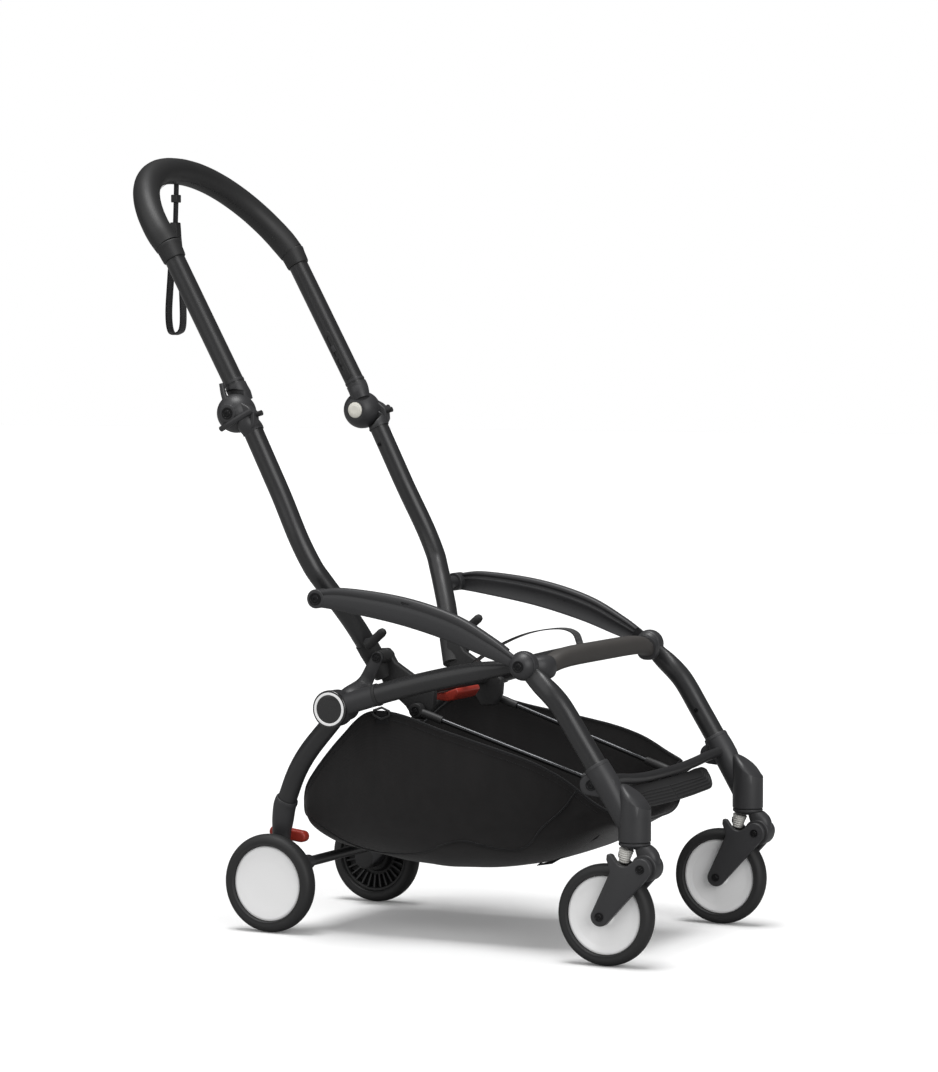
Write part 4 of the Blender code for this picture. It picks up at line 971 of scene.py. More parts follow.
def shaped_bar(name, points, sizes, steps=5, sides=36, across=(1, 0, 0), squareness=1.0):
    """A bar whose width and depth change along a smooth curve."""
    places = curve_through(points, steps)
    widths = curve_through([(w, d, 0) for w, d in sizes], steps)
    return lofted(name, bar_rings(places, [(s.x, s.y) for s in widths], sides, across, squareness))


# Front legs and casters

def leg_places():
    y, z = SEAT_PIVOT
    return curve_through([(0.2000, y, z), (0.2005, y - 0.0157, z - 0.0155),
                          (0.2000, y - 0.0490, z - 0.0460), (0.1985, y - 0.0775, z - 0.0885),
                          (0.1970, y - 0.1020, z - 0.1265)], 3)


def make_front_legs(sizes):
    """The bent front tubes with their knuckle slice, and the cast sleeve and housing."""
    path = leg_places()
    flat = (BALL_OUTER_CUT - BALL_INNER_CUT) / 2 - 2 * GAP
    middle = (BALL_INNER_CUT + BALL_OUTER_CUT) / 2
    places = [Vector((middle, *SEAT_PIVOT)), Vector((middle, path[1].y, path[1].z)),
              Vector((middle, path[3].y, path[3].z))] + path[4:]
    widths = [(flat, 0.0100), (flat, 0.0115), (flat + 0.0006, 0.0132), (flat + 0.0034, 0.0142)]
    widths += [(0.0143, 0.0143)] * (len(places) - len(widths))
    tube = shaped_bar("front_tube", places, widths, 4, 40)
    both(tube, "tube", "front_legs", "front_leg", angle=50)
    joint = ball_slice("leg_joint", SEAT_PIVOT, BALL_X, BALL_RADIUS,
                        BALL_INNER_CUT + GAP, BALL_OUTER_CUT - GAP)
    both(joint, "casting", "front_legs")
    rivet_place = path[9]
    rivet = bolt_head("leg_rivet", (rivet_place.y, rivet_place.z), rivet_place.x - 0.0139, 0.0030, -1)
    both(rivet, "bolt", "front_legs")
    heading = (path[-1] - path[-2]).normalized()
    start = path[-1] + heading * GAP
    bottom = Vector((CASTER_X + 0.001, CASTER_Y + 0.006, HOUSING_BOTTOM + 0.016))
    lip = turned("sleeve_lip", start - heading * 0.0035, heading,
                 rounded([(0, 0.0144), (0, 0.0164), (0.0050, 0.0173), (0.0050, 0.0144)], 0.0008), 48)
    both(lip, "casting", "front_legs")
    sleeve = shaped_bar("leg_sleeve", [start, start + heading * 0.030, bottom],
                        [(0.0168, 0.0168), (0.0168, 0.0168), (0.0130, 0.0130)], 6, 40)
    both(sleeve, "casting", "front_legs", "front_sleeve", angle=50)
    height = HOUSING_TOP - HOUSING_BOTTOM
    housing = turned("caster_housing", (CASTER_X, CASTER_Y, HOUSING_BOTTOM), (0, 0, 1),
                     rounded([(0, 0), (0, HOUSING_RADIUS - 0.0012), (0.0015, HOUSING_RADIUS),
                              (0.030, HOUSING_RADIUS), (height - 0.006, HOUSING_RADIUS),
                              (height, HOUSING_RADIUS - 0.0060), (height, 0)], 0.0035), 64)
    for vertex in housing.data.vertices:
        over = vertex.co.z - (HOUSING_TOP - 0.016)
        if over > 0:
            share = min(over / 0.010, 1.0)
            lean = vertex.co.y - CASTER_Y
            vertex.co.z += lean * 0.78 * share
            vertex.co.x += (CASTER_X - vertex.co.x) * 0.30 * max(lean, 0) / HOUSING_RADIUS * share
    both(housing, "casting", "front_legs", angle=50)
    place = start + heading * 0.0265
    lug = plate("sleeve_lug", capsule((place.y, place.z), (place.y + 0.022, place.z), 0.0155, 0.0137),
                0.1890, 0.2065, 0.0030, 4)
    both(lug, "casting", "front_legs")
    both(bolt_head("lug_bolt", (place.y + 0.0185, place.z), 0.2065, 0.0072), "bolt", "front_legs")


def make_casters(sizes):
    """The caster yokes, their ribbed springs and the forks."""
    top = HOUSING_BOTTOM - GAP
    bottom = HOUSING_BOTTOM - 0.0079
    y, z = FORK_PIVOT
    disc = turned("caster_disc", (CASTER_X, CASTER_Y, bottom), (0, 0, 1),
                  rounded([(0, 0), (0, HOUSING_RADIUS - 0.0060), (0.0045, HOUSING_RADIUS - 0.0004),
                           (top - bottom, HOUSING_RADIUS - 0.0004), (top - bottom, 0)], 0.0010), 64)
    both(disc, "casting", "caster", "caster_yoke", sides=True)
    front = CASTER_Y - 0.0122
    neck = shaped_bar("caster_neck", [(CASTER_X, front, top - 0.004), (CASTER_X, front - 0.0005, bottom),
                                      (CASTER_X, y - 0.0015, z + 0.0125), (CASTER_X, y - 0.0010, z)],
                      [(0.0130, 0.0095), (0.0127, 0.0100), (0.0122, 0.0148), (0.0112, 0.0155)],
                      6, 40, squareness=0.78)
    both(neck, "casting", "caster", sides=True, angle=50)
    shoulder = drum("caster_shoulder", FORK_PIVOT, CASTER_X - 0.0128, CASTER_X + 0.0128, 0.0178, 0.0022, 56)
    both(shoulder, "casting", "caster", sides=True)
    foot = Vector((CASTER_X, FRONT_AXLE[0] - 0.0239, FRONT_AXLE[1] + 0.0690))
    head = Vector((CASTER_X, CASTER_Y + 0.0112, HOUSING_BOTTOM - 0.0093))
    height = (head - foot).length
    ribs = 6
    profile = [(0, 0)]
    for i in range(ribs):
        low = height * i / ribs
        high = height * (i + 1) / ribs
        radius = 0.0068 + 0.0034 * (i + 0.5) / ribs
        deep = radius - 0.0009
        profile += [(low + 0.0002, deep), (low + (high - low) * 0.25, radius - 0.0002),
                    (low + (high - low) * 0.5, radius), (low + (high - low) * 0.75, radius - 0.0002),
                    (high - 0.0002, deep)]
    profile += [(height, 0)]
    spring = turned("caster_spring", foot, head - foot, profile, 40)
    both(spring, "spring", "caster", "elastomer", sides=True, angle=50)
    inner = CASTER_X - 0.0131
    outer = CASTER_X + 0.0131
    down = atan2(FRONT_AXLE[1] - z, FRONT_AXLE[0] - y) * 180 / pi
    outline = arc(FORK_PIVOT, 0.0140, 62, 270 + down, 22)
    outline += arc(FRONT_AXLE, 0.0125, 270 + down, 375, 20)
    outline += [(y + 0.0425, z - 0.0060), (y + 0.0452, z + 0.0040), (y + 0.0475, z + 0.0100),
                (y + 0.0468, z + 0.0168), (y + 0.0445, z + 0.0172), (y + 0.0405, z + 0.0165),
                (y + 0.0350, z + 0.0085), (y + 0.0300, z + 0.0035), (y + 0.0240, z + 0.0018),
                (y + 0.0190, z + 0.0030)]
    for name, low, high in (("fork_inner", inner - 0.0075, inner), ("fork_outer", outer, outer + 0.0105)):
        cheek = plate(name, outline, low, high, 0.0018, 4)
        stood_for = ["caster_fork"] if name == "fork_outer" else []
        both(cheek, "casting", "fork", *stood_for, sides=True)
    near = FRONT_WHEEL_RADIUS + 0.0019
    bridge = plate("fork_bridge", arc(FRONT_AXLE, near + 0.0030, 101, 119, 8)
                   + arc(FRONT_AXLE, near, 119, 101, 8), inner - 0.0030, outer + 0.0030, 0.0008)
    both(bridge, "casting", "fork", sides=True)
    pin = drum("fork_pin", FRONT_AXLE, inner - 0.001, outer + 0.001, 0.0040, 0.0003, 24)
    both(pin, "bolt", "fork", sides=True)
    for name, place in (("fork_bolt", FORK_PIVOT), ("axle_bolt", FRONT_AXLE)):
        both(bolt_head(name, place, outer + 0.0105, 0.0060), "bolt", "fork", sides=True)
        both(bolt_head(name + "_in", place, inner - 0.0075, 0.0056, -1), "bolt", "fork", sides=True)


# Wheels

def tyre_profile(crown, width, bead):
    """Half-round tread over straight walls, with a raised line near the rim."""
    half = width / 2
    tread = []
    for i in range(9):
        angle = radians(20 * i - 80)
        tread.append((sin(angle) * (half - 0.0006), crown - 0.0068 * (1 - cos(angle)) ** 1.1))
    walls_in = [(-half + 0.0035, bead), (-half + 0.0012, bead + 0.0004), (-half + 0.0002, bead + 0.0016),
                (-half + 0.0006, bead + 0.0026), (-half, bead + 0.0050), (-half, bead + 0.0080)]
    return walls_in + tread + [(-d, r) for d, r in walls_in[::-1]] + [walls_in[0]]


def make_wheels(sizes):
    """All four wheels: foam tyres, white discs and the ribbed inner side at the rear."""
    bead = DISC_RADIUS + GAP
    for name, x, axle, crown, body in (
            ("front_foam", CASTER_X, FRONT_AXLE, FRONT_WHEEL_RADIUS, "front_wheel"),
            ("rear_foam", REAR_WHEEL_X, REAR_AXLE, REAR_WHEEL_RADIUS, "rear_wheel")):
        tyre = turned(name, at(x, axle), (1, 0, 0),
                      tyre_profile(crown, sizes.tyre_width, bead), 112)
        both(tyre, "tyre", body, body.replace("wheel", "tyre"), sides=True, angle=60)
    half = 0.0085
    disc = turned("front_plate", at(CASTER_X, FRONT_AXLE), (1, 0, 0),
                  rounded([(half + 0.0028, 0.0045), (half + 0.0028, 0.0095), (half - 0.0008, 0.0140),
                           (half - 0.0010, 0.0400), (half, DISC_RADIUS - 0.0030),
                           (half - 0.0010, DISC_RADIUS), (-half + 0.0010, DISC_RADIUS),
                           (-half, DISC_RADIUS - 0.0030), (-half + 0.0010, 0.0400),
                           (-half + 0.0008, 0.0140), (-half - 0.0028, 0.0095),
                           (-half - 0.0028, 0.0045), (half + 0.0028, 0.0045)], 0.0010), 112)
    both(disc, "white", "front_wheel", "front_disc", sides=True, angle=50)
    cap = turned("rear_plate", at(REAR_WHEEL_X, REAR_AXLE), (1, 0, 0),
                 rounded([(half - 0.0012, 0), (half - 0.0008, 0.0300), (half, DISC_RADIUS - 0.0030),
                          (half - 0.0012, DISC_RADIUS), (half - 0.0045, DISC_RADIUS),
                          (half - 0.0045, 0)], 0.0008), 112)
    both(cap, "white", "rear_wheel", "rear_disc", sides=True, angle=50)
    low = -half
    rim = turned("rear_rim", at(REAR_WHEEL_X, REAR_AXLE), (1, 0, 0),
                 rounded([(low + 0.0130, DISC_RADIUS), (low, DISC_RADIUS), (low, DISC_RADIUS - 0.0035),
                          (low + 0.0090, DISC_RADIUS - 0.0055), (low + 0.0100, 0.0240),
                          (low + 0.0020, 0.0215), (low, 0.0180), (low, 0.0044),
                          (low + 0.0100, 0.0044), (low + 0.0130, 0.0200), (low + 0.0130, DISC_RADIUS)],
                         0.0008), 96)
    both(rim, "moulding", "rear_wheel", sides=True, angle=45)
    count = sizes.rear_ribs
    ribs = []
    for i in range(count):
        turn = 2 * pi * i / count
        leave()
        bpy.ops.mesh.primitive_cube_add(size=1, location=(0, 0, 0))
        rib = bpy.context.object
        rib.scale = (0.0085, 0.0021, 0.0180)
        bpy.ops.object.transform_apply(scale=True)
        for vertex in rib.data.vertices:
            vertex.co.z += 0.0372
            if vertex.co.x < 0 and vertex.co.z < 0.0372:
                vertex.co.x += 0.0030
        rib.rotation_euler = (turn, 0, 0)
        rib.location = at(REAR_WHEEL_X + low + 0.0048, REAR_AXLE)
        ribs.append(rib)
    for rib in ribs:
        only(rib)
        bpy.ops.object.transform_apply(location=True, rotation=True)
    web = joined(*ribs)
    web.name = "rear_ribs"
    both(web, "moulding", "rear_wheel", sides=True)


# Rear legs and brake

def make_rear_legs(sizes):
    """The bent rear tubes with the hub disc and lever, the cast feet and the cross tube."""
    y, z = HUB
    foot = REAR_FOOT_X
    knots = [(REAR_LEG_X, y, z), (0.1570, y + 0.0215, z - 0.0223), (0.1500, y + 0.0595, z - 0.0624),
             (0.1430, y + 0.0835, z - 0.0949), (foot + 0.0090, y + 0.1035, z - 0.1346)]
    widths = [(0.0105, 0.0128), (0.0114, 0.0130), (0.0132, 0.0132), (0.0132, 0.0132), (0.0132, 0.0132)]
    tube = shaped_bar("rear_tube", knots, widths, 8, 40)
    both(tube, "tube", "rear_legs", "rear_leg", angle=50)
    both(drum("rear_hub_disc", HUB, 0.1520, 0.1772, 0.0190, 0.0014, 56), "casting", "rear_legs")
    ly, lz = LINK_PIVOT
    ray = Vector((0, ly - y, lz - z))
    places = [at(x, HUB) + ray * s for s, x in ((0, REAR_LEG_X), (0.22, 0.1600), (0.46, 0.1345),
                                                (0.75, 0.1334), (1.0, 0.1330))]
    lever = shaped_bar("link_lever", places, [(0.0100, 0.0155), (0.0090, 0.0145), (0.0040, 0.0110),
                                              (0.0032, 0.0094), (0.0026, 0.0084)], 6, 32)
    both(lever, "casting", "rear_legs", angle=50)
    both(drum("link_boss", LINK_PIVOT, 0.1303, 0.1356, 0.0080, 0.0010), "casting", "rear_legs")
    path = curve_through(knots, 2)
    heading = (path[-1] - path[-2]).normalized()
    start = path[-1] + heading * GAP
    places = [start, start + heading * 0.010, Vector((foot + 0.0040, y + 0.1125, z - 0.1631)),
              Vector((foot, y + 0.1168, z - 0.1840)),
              Vector((foot - 0.0005, REAR_AXLE[0] - 0.002, REAR_AXLE[1] + 0.028)),
              Vector((foot - 0.0015, *REAR_AXLE))]
    casting = shaped_bar("rear_casting", places,
                         [(r, r) for r in (0.0156, 0.0156, 0.0148, 0.0126, 0.0110, 0.0104)], 6, 40)
    both(casting, "casting", "rear_legs", "rear_foot", angle=50)
    lip = turned("rear_lip", start - heading * 0.0030, heading,
                 rounded([(0, 0.0134), (0, 0.0152), (0.0050, 0.0160), (0.0050, 0.0134)], 0.0008), 48)
    both(lip, "casting", "rear_legs")
    toe = plate("rear_toe", capsule(REAR_AXLE, TOE, 0.0150, 0.0100), foot - 0.0118, foot + 0.0100, 0.0025, 4)
    both(toe, "casting", "rear_legs")
    hub = turned("rear_hub", at(foot - 0.0120, REAR_AXLE), (1, 0, 0),
                 rounded([(0, 0), (0, 0.0140), (0.0030, 0.0165),
                          (REAR_WHEEL_X - 0.0125 - GAP - foot + 0.0120, 0.0165),
                          (REAR_WHEEL_X - 0.0125 - GAP - foot + 0.0120, 0)], 0.0012), 56)
    both(hub, "moulding", "rear_legs")
    both(drum("rear_pin", REAR_AXLE, foot, REAR_WHEEL_X - 0.0003, 0.0040, 0.0003, 24), "bolt",
         "rear_legs")
    both(drum("rear_dot", TOE, foot - 0.0122, foot - 0.0113, 0.0042, 0.0003, 32), "white", "rear_legs")
    end = foot - 0.0118 - GAP
    tube = line("axle_tube", [at(-end, TOE), at(0, TOE), at(end, TOE)], 0.0070, sides=36)
    finish(tube, "tube", "rear_legs", "cross_tube")
    ay, az = REAR_AXLE
    pedal = plate("foot_pedal", capsule((ay - 0.0242, az + 0.0594), (ay + 0.0170, az + 0.0640),
                                        0.0078, 0.0080), -(foot - 0.0127), -(foot - 0.0280), 0.0035, 5)
    finish(pedal, "red", "brake", "brake_pedal")


def make_front_bar(sizes):
    """The bar between the front sleeves, the ribbed footrest under it and the struts."""
    y, z = STRUT_FRONT
    half = [(0.1790, y - 0.0250, z + 0.0230), (0.150, y - 0.0240, z + 0.0215),
            (0.100, y - 0.0205, z + 0.0160), (0.050, y - 0.0190, z + 0.0130)]
    points = [(-px, py, pz) for px, py, pz in half] + [(0, y - 0.0185, z + 0.0125)] + half[::-1]
    bar = line("step_bar", points, 0.0068, sides=36, resolution=10)
    finish(bar, "tube", "front_legs", "front_bar")
    tab = plate("strut_tab", capsule((y - 0.020, z + 0.015), STRUT_FRONT, 0.0062, 0.0058),
                0.0880, 0.0940, 0.0010)
    both(tab, "casting", "front_legs")
    top = Vector((0, y - 0.0200, z + 0.0072))
    down = Vector((0, -0.58, -0.81)).normalized()
    face = down.cross(Vector((1, 0, 0))).normalized()
    length, wide, corner = 0.0330, 0.1400, 0.0245
    outline = [(0.045, 0.0026), (0.085, 0.0016), (0.104, 0.0), (wide - 0.010, 0.0), (wide - 0.003, 0.0022),
               (wide, 0.0075)]
    for i in range(0, 13):
        angle = pi / 2 * i / 12
        outline.append((wide - corner * (1 - cos(angle)), length - corner + corner * sin(angle)))
    outline.append((0.060, length + 0.0020))
    outline = [(0.0, 0.0026)] + outline + [(0.0, length + 0.0030)]
    outline = outline + [(-u, v) for u, v in outline[-2:0:-1]]

    def spot(u, v, lift):
        return top + Vector((u, 0, 0)) + down * v + face * lift
    places = [spot(u, v, -0.0029) for u, v in outline]
    step = start_point("foot_step", places[0])
    draw_chain(places)
    bpy.ops.mesh.select_all(action='SELECT')
    bpy.ops.mesh.edge_face_add()
    bpy.ops.mesh.extrude_region_move(TRANSFORM_OT_translate={"value": face * 0.0050})
    close_up()
    bevel(step, 0.0014, 4)
    finish(step, "moulding", "front_legs", "footrest")
    ribs = []
    for inset in (0.0030, 0.0075, 0.0120, 0.0165, 0.0210):
        for side in (-1, 1):
            path = []
            turn = corner - inset
            reach = wide - inset
            path.append(spot(side * reach, 0.0045, 0.0021))
            path.append(spot(side * reach, max(length - corner, 0.006), 0.0021))
            if turn > 0.004:
                for i in range(1, 7):
                    angle = pi / 2 * i / 6
                    path.append(spot(side * (reach - turn * (1 - cos(angle))),
                                     length - corner + turn * sin(angle), 0.0021))
            else:
                path.append(spot(side * (reach - 0.004), length - inset, 0.0021))
            path.append(spot(side * 0.060, length - inset + 0.0018, 0.0021))
            path.append(spot(side * 0.002, length - inset + 0.0026, 0.0021))
            ribs.append(line("rib", path, 0.0009, sides=10, resolution=4))
    ribs = joined(*ribs)
    ribs.name = "step_ribs"
    finish(ribs, "moulding", "front_legs")
    inner = 0.0943
    front = Vector(at(inner + 0.0062, STRUT_FRONT))
    rear = Vector(at(0.1165, STRUT_REAR))
    ray = rear - front
    rod = line("strut_rod", [front + ray * 0.08, front + ray * 0.5, front + ray * 0.92], 0.0034, sides=24)
    both(rod, "rod", "struts", "strut")
    low = line("strut_sleeve", [front + ray * 0.012, front + ray * 0.09, front + ray * 0.17], 0.0058,
               [0.9, 1.0, 0.92], 28)
    both(low, "moulding", "struts")
    high = line("strut_end", [rear - ray * 0.13, rear - ray * 0.07, rear - ray * 0.012], 0.0058,
                [0.92, 1.0, 0.9], 28)
    both(high, "moulding", "struts")
    both(drum("strut_eye", STRUT_FRONT, inner, inner + 0.0105, 0.0062, 0.0008, 32), "moulding", "struts")
    both(drum("strut_ring", STRUT_REAR, 0.1093, 0.1215, 0.0098, 0.0010, 36), "moulding", "struts")
    both(bolt_head("strut_bolt", STRUT_REAR, 0.1215, 0.0060), "bolt", "struts")


# Cloth and webbing

BASKET_RIBS = ((0.145, 0.178, 0.146, 0.098, 0), (0.135, 0.200, 0.130, 0.107, 0),
               (0.106, 0.235, 0.114, 0.116, 0), (0.065, 0.275, 0.106, 0.127, 0),
               (0.028, 0.303, 0.101, 0.135, 0), (-0.020, 0.304, 0.096, 0.138, 0.002),
               (-0.080, 0.287, 0.094, 0.138, 0.008), (-0.150, 0.268, 0.098, 0.136, 0.016),
               (-0.215, 0.249, 0.111, 0.132, 0.024), (-0.262, 0.226, 0.129, 0.126, 0.034),
               (-0.297, 0.200, 0.150, 0.119, 0.044), (-0.325, 0.183, 0.166, 0.110, 0.050))
SIDE_SEAM = ((-0.276, 0.2135), (-0.2600, 0.1920), (-0.2285, 0.1640), (-0.2000, 0.1360), (-0.1700, 0.1310),
             (-0.1405, 0.1352), (-0.1120, 0.1395), (-0.0877, 0.1345), (-0.0430, 0.1185),
             (0.0000, 0.1130), (0.0457, 0.1135), (0.0787, 0.1230), (0.1080, 0.1390), (0.1330, 0.1530))


def basket_rows(steps):
    """(y, rim, bottom, half width, rise of the left rim) from the back to the front."""
    places = curve_through([(y, rim, low) for y, rim, low, _, _ in BASKET_RIBS], steps)
    halves = curve_through([(half, rise, 0) for _, _, _, half, rise in BASKET_RIBS], steps)
    return [(p.x, p.y, p.z, h.x, h.y) for p, h in zip(places, halves)]


def basket_place(row, share, lift=0.0):
    """A place on the cloth; share runs from the left rim (0) under to the right (1)."""
    y, rim, low, half, rise = row
    angle = pi * share
    deep = max(sin(angle), 0.0) ** CORNER_POWER
    wide = abs(cos(angle)) ** CORNER_POWER * (1 if cos(angle) > 0 else -1)
    edge = rim + rise * max(cos(angle), 0.0)
    return Vector((wide * (half + lift), y, edge - (edge - low + lift) * deep))


def row_at(y):
    rows = basket_rows(8)
    for one, two in zip(rows, rows[1:]):
        if one[0] >= y >= two[0]:
            t = (one[0] - y) / (one[0] - two[0])
            return tuple(a + (b - a) * t for a, b in zip(one, two))
    return rows[0] if y > rows[0][0] else rows[-1]


def on_side(y, z, lift, side=-1):
    """The cloth's place at a height on the left (1) or right (-1) panel."""
    row = row_at(y)
    _, rim, low, _, _ = row
    level = min(max((rim - z) / (rim - low), 0.0), 1.0)
    deep = level ** (1 / CORNER_POWER)
    share = atan2(deep, sqrt(max(1 - deep * deep, 0.0))) / pi
    return basket_place(row, share if side > 0 else 1 - share, lift)


def creases(place, amount):
    """How far the slack cloth stands off its even form at a place."""
    front = min(max((-0.235 - place.y) / 0.060, 0.0), 1.0)
    under = min(max((0.150 - place.z) / 0.040, 0.0), 1.0)
    broad = noise.noise(place * 9.0) + 0.5 * noise.noise(place * 23.0)
    folds = sin((place.y * 0.9 + place.z * 1.9 + abs(place.x) * 0.25) * 115.0
                + 2.2 * noise.noise(place * 14.0))
    return amount * (0.55 * broad + 0.9 * folds * front + 0.8 * broad * under)


def make_basket(sizes):
    """The open cloth tray with its hem, side seams, creases and hanging tabs."""
    rows = basket_rows(8)
    around = 64
    rings = []
    for i, row in enumerate(rows):
        ring = []
        for k in range(around + 1):
            share = k / around
            place = basket_place(row, share)
            hem = min(share, 1 - share) * around / 3
            outward = Vector((place.x, 0, place.z - (row[1] + row[2]) / 2)).normalized()
            calm = min(hem, 1.0) * min(i / 4, 1.0) * min((len(rows) - 1 - i) / 4, 1.0)
            ring.append(place + outward * creases(place, sizes.creases) * calm)
        rings.append(ring)
    mesh = bmesh.new()
    made = [[mesh.verts.new(place) for place in ring] for ring in rings]
    layer = mesh.loops.layers.uv.new("weave")
    across = 0.45
    along = 0.55
    for i in range(len(rings) - 1):
        for k in range(around):
            corners = ((i, k), (i + 1, k), (i + 1, k + 1), (i, k + 1))
            face = mesh.faces.new([made[a][b] for a, b in corners])
            for loop, (a, b) in zip(face.loops, corners):
                loop[layer].uv = (b / around * across, a / (len(rings) - 1) * along)
    bmesh.ops.recalc_face_normals(mesh, faces=mesh.faces)
    data = bpy.data.meshes.new("basket_cloth")
    mesh.to_mesh(data)
    mesh.free()
    cloth = bpy.data.objects.new("basket_cloth", data)
    bpy.context.scene.collection.objects.link(cloth)
    step = cloth.modifiers.new("thickness", 'SOLIDIFY')
    step.thickness = 0.0016
    step.offset = 0
    apply_all(cloth)
    finish(cloth, "cloth", "seat_frame", "basket", angle=70)
    rims = [line("hem", [basket_place(row, share) for row in rows[::4] + rows[-1:]], 0.0021, sides=12,
                 resolution=4) for share in (0.0, 1.0)]
    for end in (rows[0], rows[-1]):
        places = [basket_place(end, share / 40) for share in range(41)]
        rims.append(line("hem", places, 0.0019, sides=12, resolution=2))
    hem = joined(*rims)
    hem.name = "basket_hem"
    finish(hem, "webbing", "seat_frame")
    seams = []
    for side in (1, -1):
        places = [on_side(y, z, 0.0012, side) for y, z in SIDE_SEAM]
        seams.append(line("seam", places, 0.0011, sides=10, resolution=6))
        places = [on_side(row[0], row[1] - 0.009, 0.0009, side) for row in rows[6:-4:4]]
        seams.append(line("seam", places, 0.0005, sides=8, resolution=4))
    seam = joined(*seams)
    seam.name = "basket_seams"
    finish(seam, "webbing", "seat_frame")
    extras = [hem, seam]
    y, z = rail_point(0.20)
    tab_top = z - 0.0285
    half_tab = 0.0008
    for side, mark in ((1, "_l"), (-1, "_r")):
        rings = []
        for x, rise, back, front in ((0.1386, -0.0135, 0.021, 0.003), (0.1392, -0.0040, 0.021, 0.003),
                                     (0.1412, 0.0040, 0.020, 0.004)):
            corners = ((half_tab, back), (half_tab, front), (-half_tab, front), (-half_tab, back))
            rings.append([Vector((side * (x + u), y + v, tab_top + rise)) for u, v in corners])
        tab = lofted("basket_tab" + mark, rings)
        finish(tab, "webbing", "seat_frame")
        extras.append(tab)
    for piece in extras:
        lay_uv(piece, lambda p: p.y, lambda p: p.z)
        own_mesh(piece)
    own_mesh(cloth)


def make_basket_hooks(sizes):
    """The band round each rail and the slotted frame that the basket hangs from."""
    y, z = rail_point(0.20)
    ahead = (at(RAIL_X, rail_point(0.22)) - at(RAIL_X, rail_point(0.18))).normalized()
    band = turned("hook_band", at(RAIL_X, (y, z)) - ahead * 0.0032, ahead,
                  rounded([(0, 0.0112), (0, 0.0142), (0.0064, 0.0142), (0.0064, 0.0112)], 0.0008), 48)
    arm = line("arm", [(0.1820, y, z - 0.0125), (0.1690, y + 0.004, z - 0.0185),
                       (0.1500, y + 0.010, z - 0.0245), (0.1422, y + 0.0120, z - 0.0262)], 0.0024,
               [1.2, 1, 1, 1], 16)
    combined(band, arm, 'UNION')
    centre = Vector((0.1410, y + 0.0120, z - 0.0270))
    loop = [centre + Vector((0, dy, dz)) for dy, dz in
            ((-0.0115, 0.0030), (-0.0115, -0.0035), (0.0115, -0.0035), (0.0115, 0.0030),
             (-0.0115, 0.0030), (-0.0115, -0.0005))]
    frame_piece = line("frame", loop, 0.0017, sides=12, resolution=2)
    hook = joined(band, frame_piece)
    both(hook, "moulding", "seat_frame", "basket_clip")


def ribbon(name, points, half, thick, across=(1, 0, 0), steps=6):
    return shaped_bar(name, points, [(half, thick)] * len(points), steps, 16, across, 0.35)


def make_straps(sizes):
    """The pull strap over the seat bar and the wrist loop under the grip."""
    y, z = SEAT_PIVOT
    points = [(-0.010, -0.052, 0.3530), (-0.020, -0.103, 0.3860), (-0.035, -0.160, 0.4100),
              (-0.048, y + 0.024, 0.4200), (-0.055, y - 0.004, 0.4160), (-0.058, y - 0.014, z + 0.0170)]
    strap = ribbon("seat_strap", points, 0.0100, 0.0009)
    finish(strap, "webbing", "seat_frame", "pull_strap", angle=60)
    lay_uv(strap, lambda p: p.x, lambda p: -p.y)
    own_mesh(strap)
    y, z = GRIP_APEX
    top = (0, y - 0.0010, z - GRIP_RADIUS - 0.0003)
    strand_path = [top, (0, y - 0.0002, z - 0.045), (0, y + 0.0010, z - 0.0780)]
    strand = ribbon("wrist_strand", strand_path, 0.0056, 0.0012)
    finish(strand, "webbing", "handle", angle=60)
    lay_uv(strand, lambda p: p.x, lambda p: p.z)
    clip = plate("wrist_clip", [(y - 0.0055, z - 0.092), (y + 0.0075, z - 0.092), (y + 0.0060, z - 0.072),
                                (y - 0.0040, z - 0.072)], -0.0068, 0.0068, 0.0012)
    finish(clip, "moulding", "handle")
    buckle = plate("wrist_slide", [(y - 0.0050, z - 0.0440), (y + 0.0045, z - 0.0440),
                                   (y + 0.0045, z - 0.0330), (y - 0.0050, z - 0.0330)],
                   -0.0066, 0.0066, 0.0012)
    finish(buckle, "moulding", "handle")
    loop_path = [(0, y + 0.0040, z - 0.090), (0, y + 0.009, z - 0.150), (0, y + 0.0125, z - 0.200),
                 (0, y + 0.009, z - 0.226), (0, y - 0.002, z - 0.229), (0, y - 0.011, z - 0.215),
                 (0, y - 0.009, z - 0.150), (0, y - 0.0030, z - 0.090)]
    loop = ribbon("wrist_loop", loop_path, 0.0085, 0.0012, steps=8)
    finish(loop, "webbing", "handle", "wrist_strap", angle=60)
    lay_uv(loop, lambda p: p.x, lambda p: p.z)


# Floor, light and camera

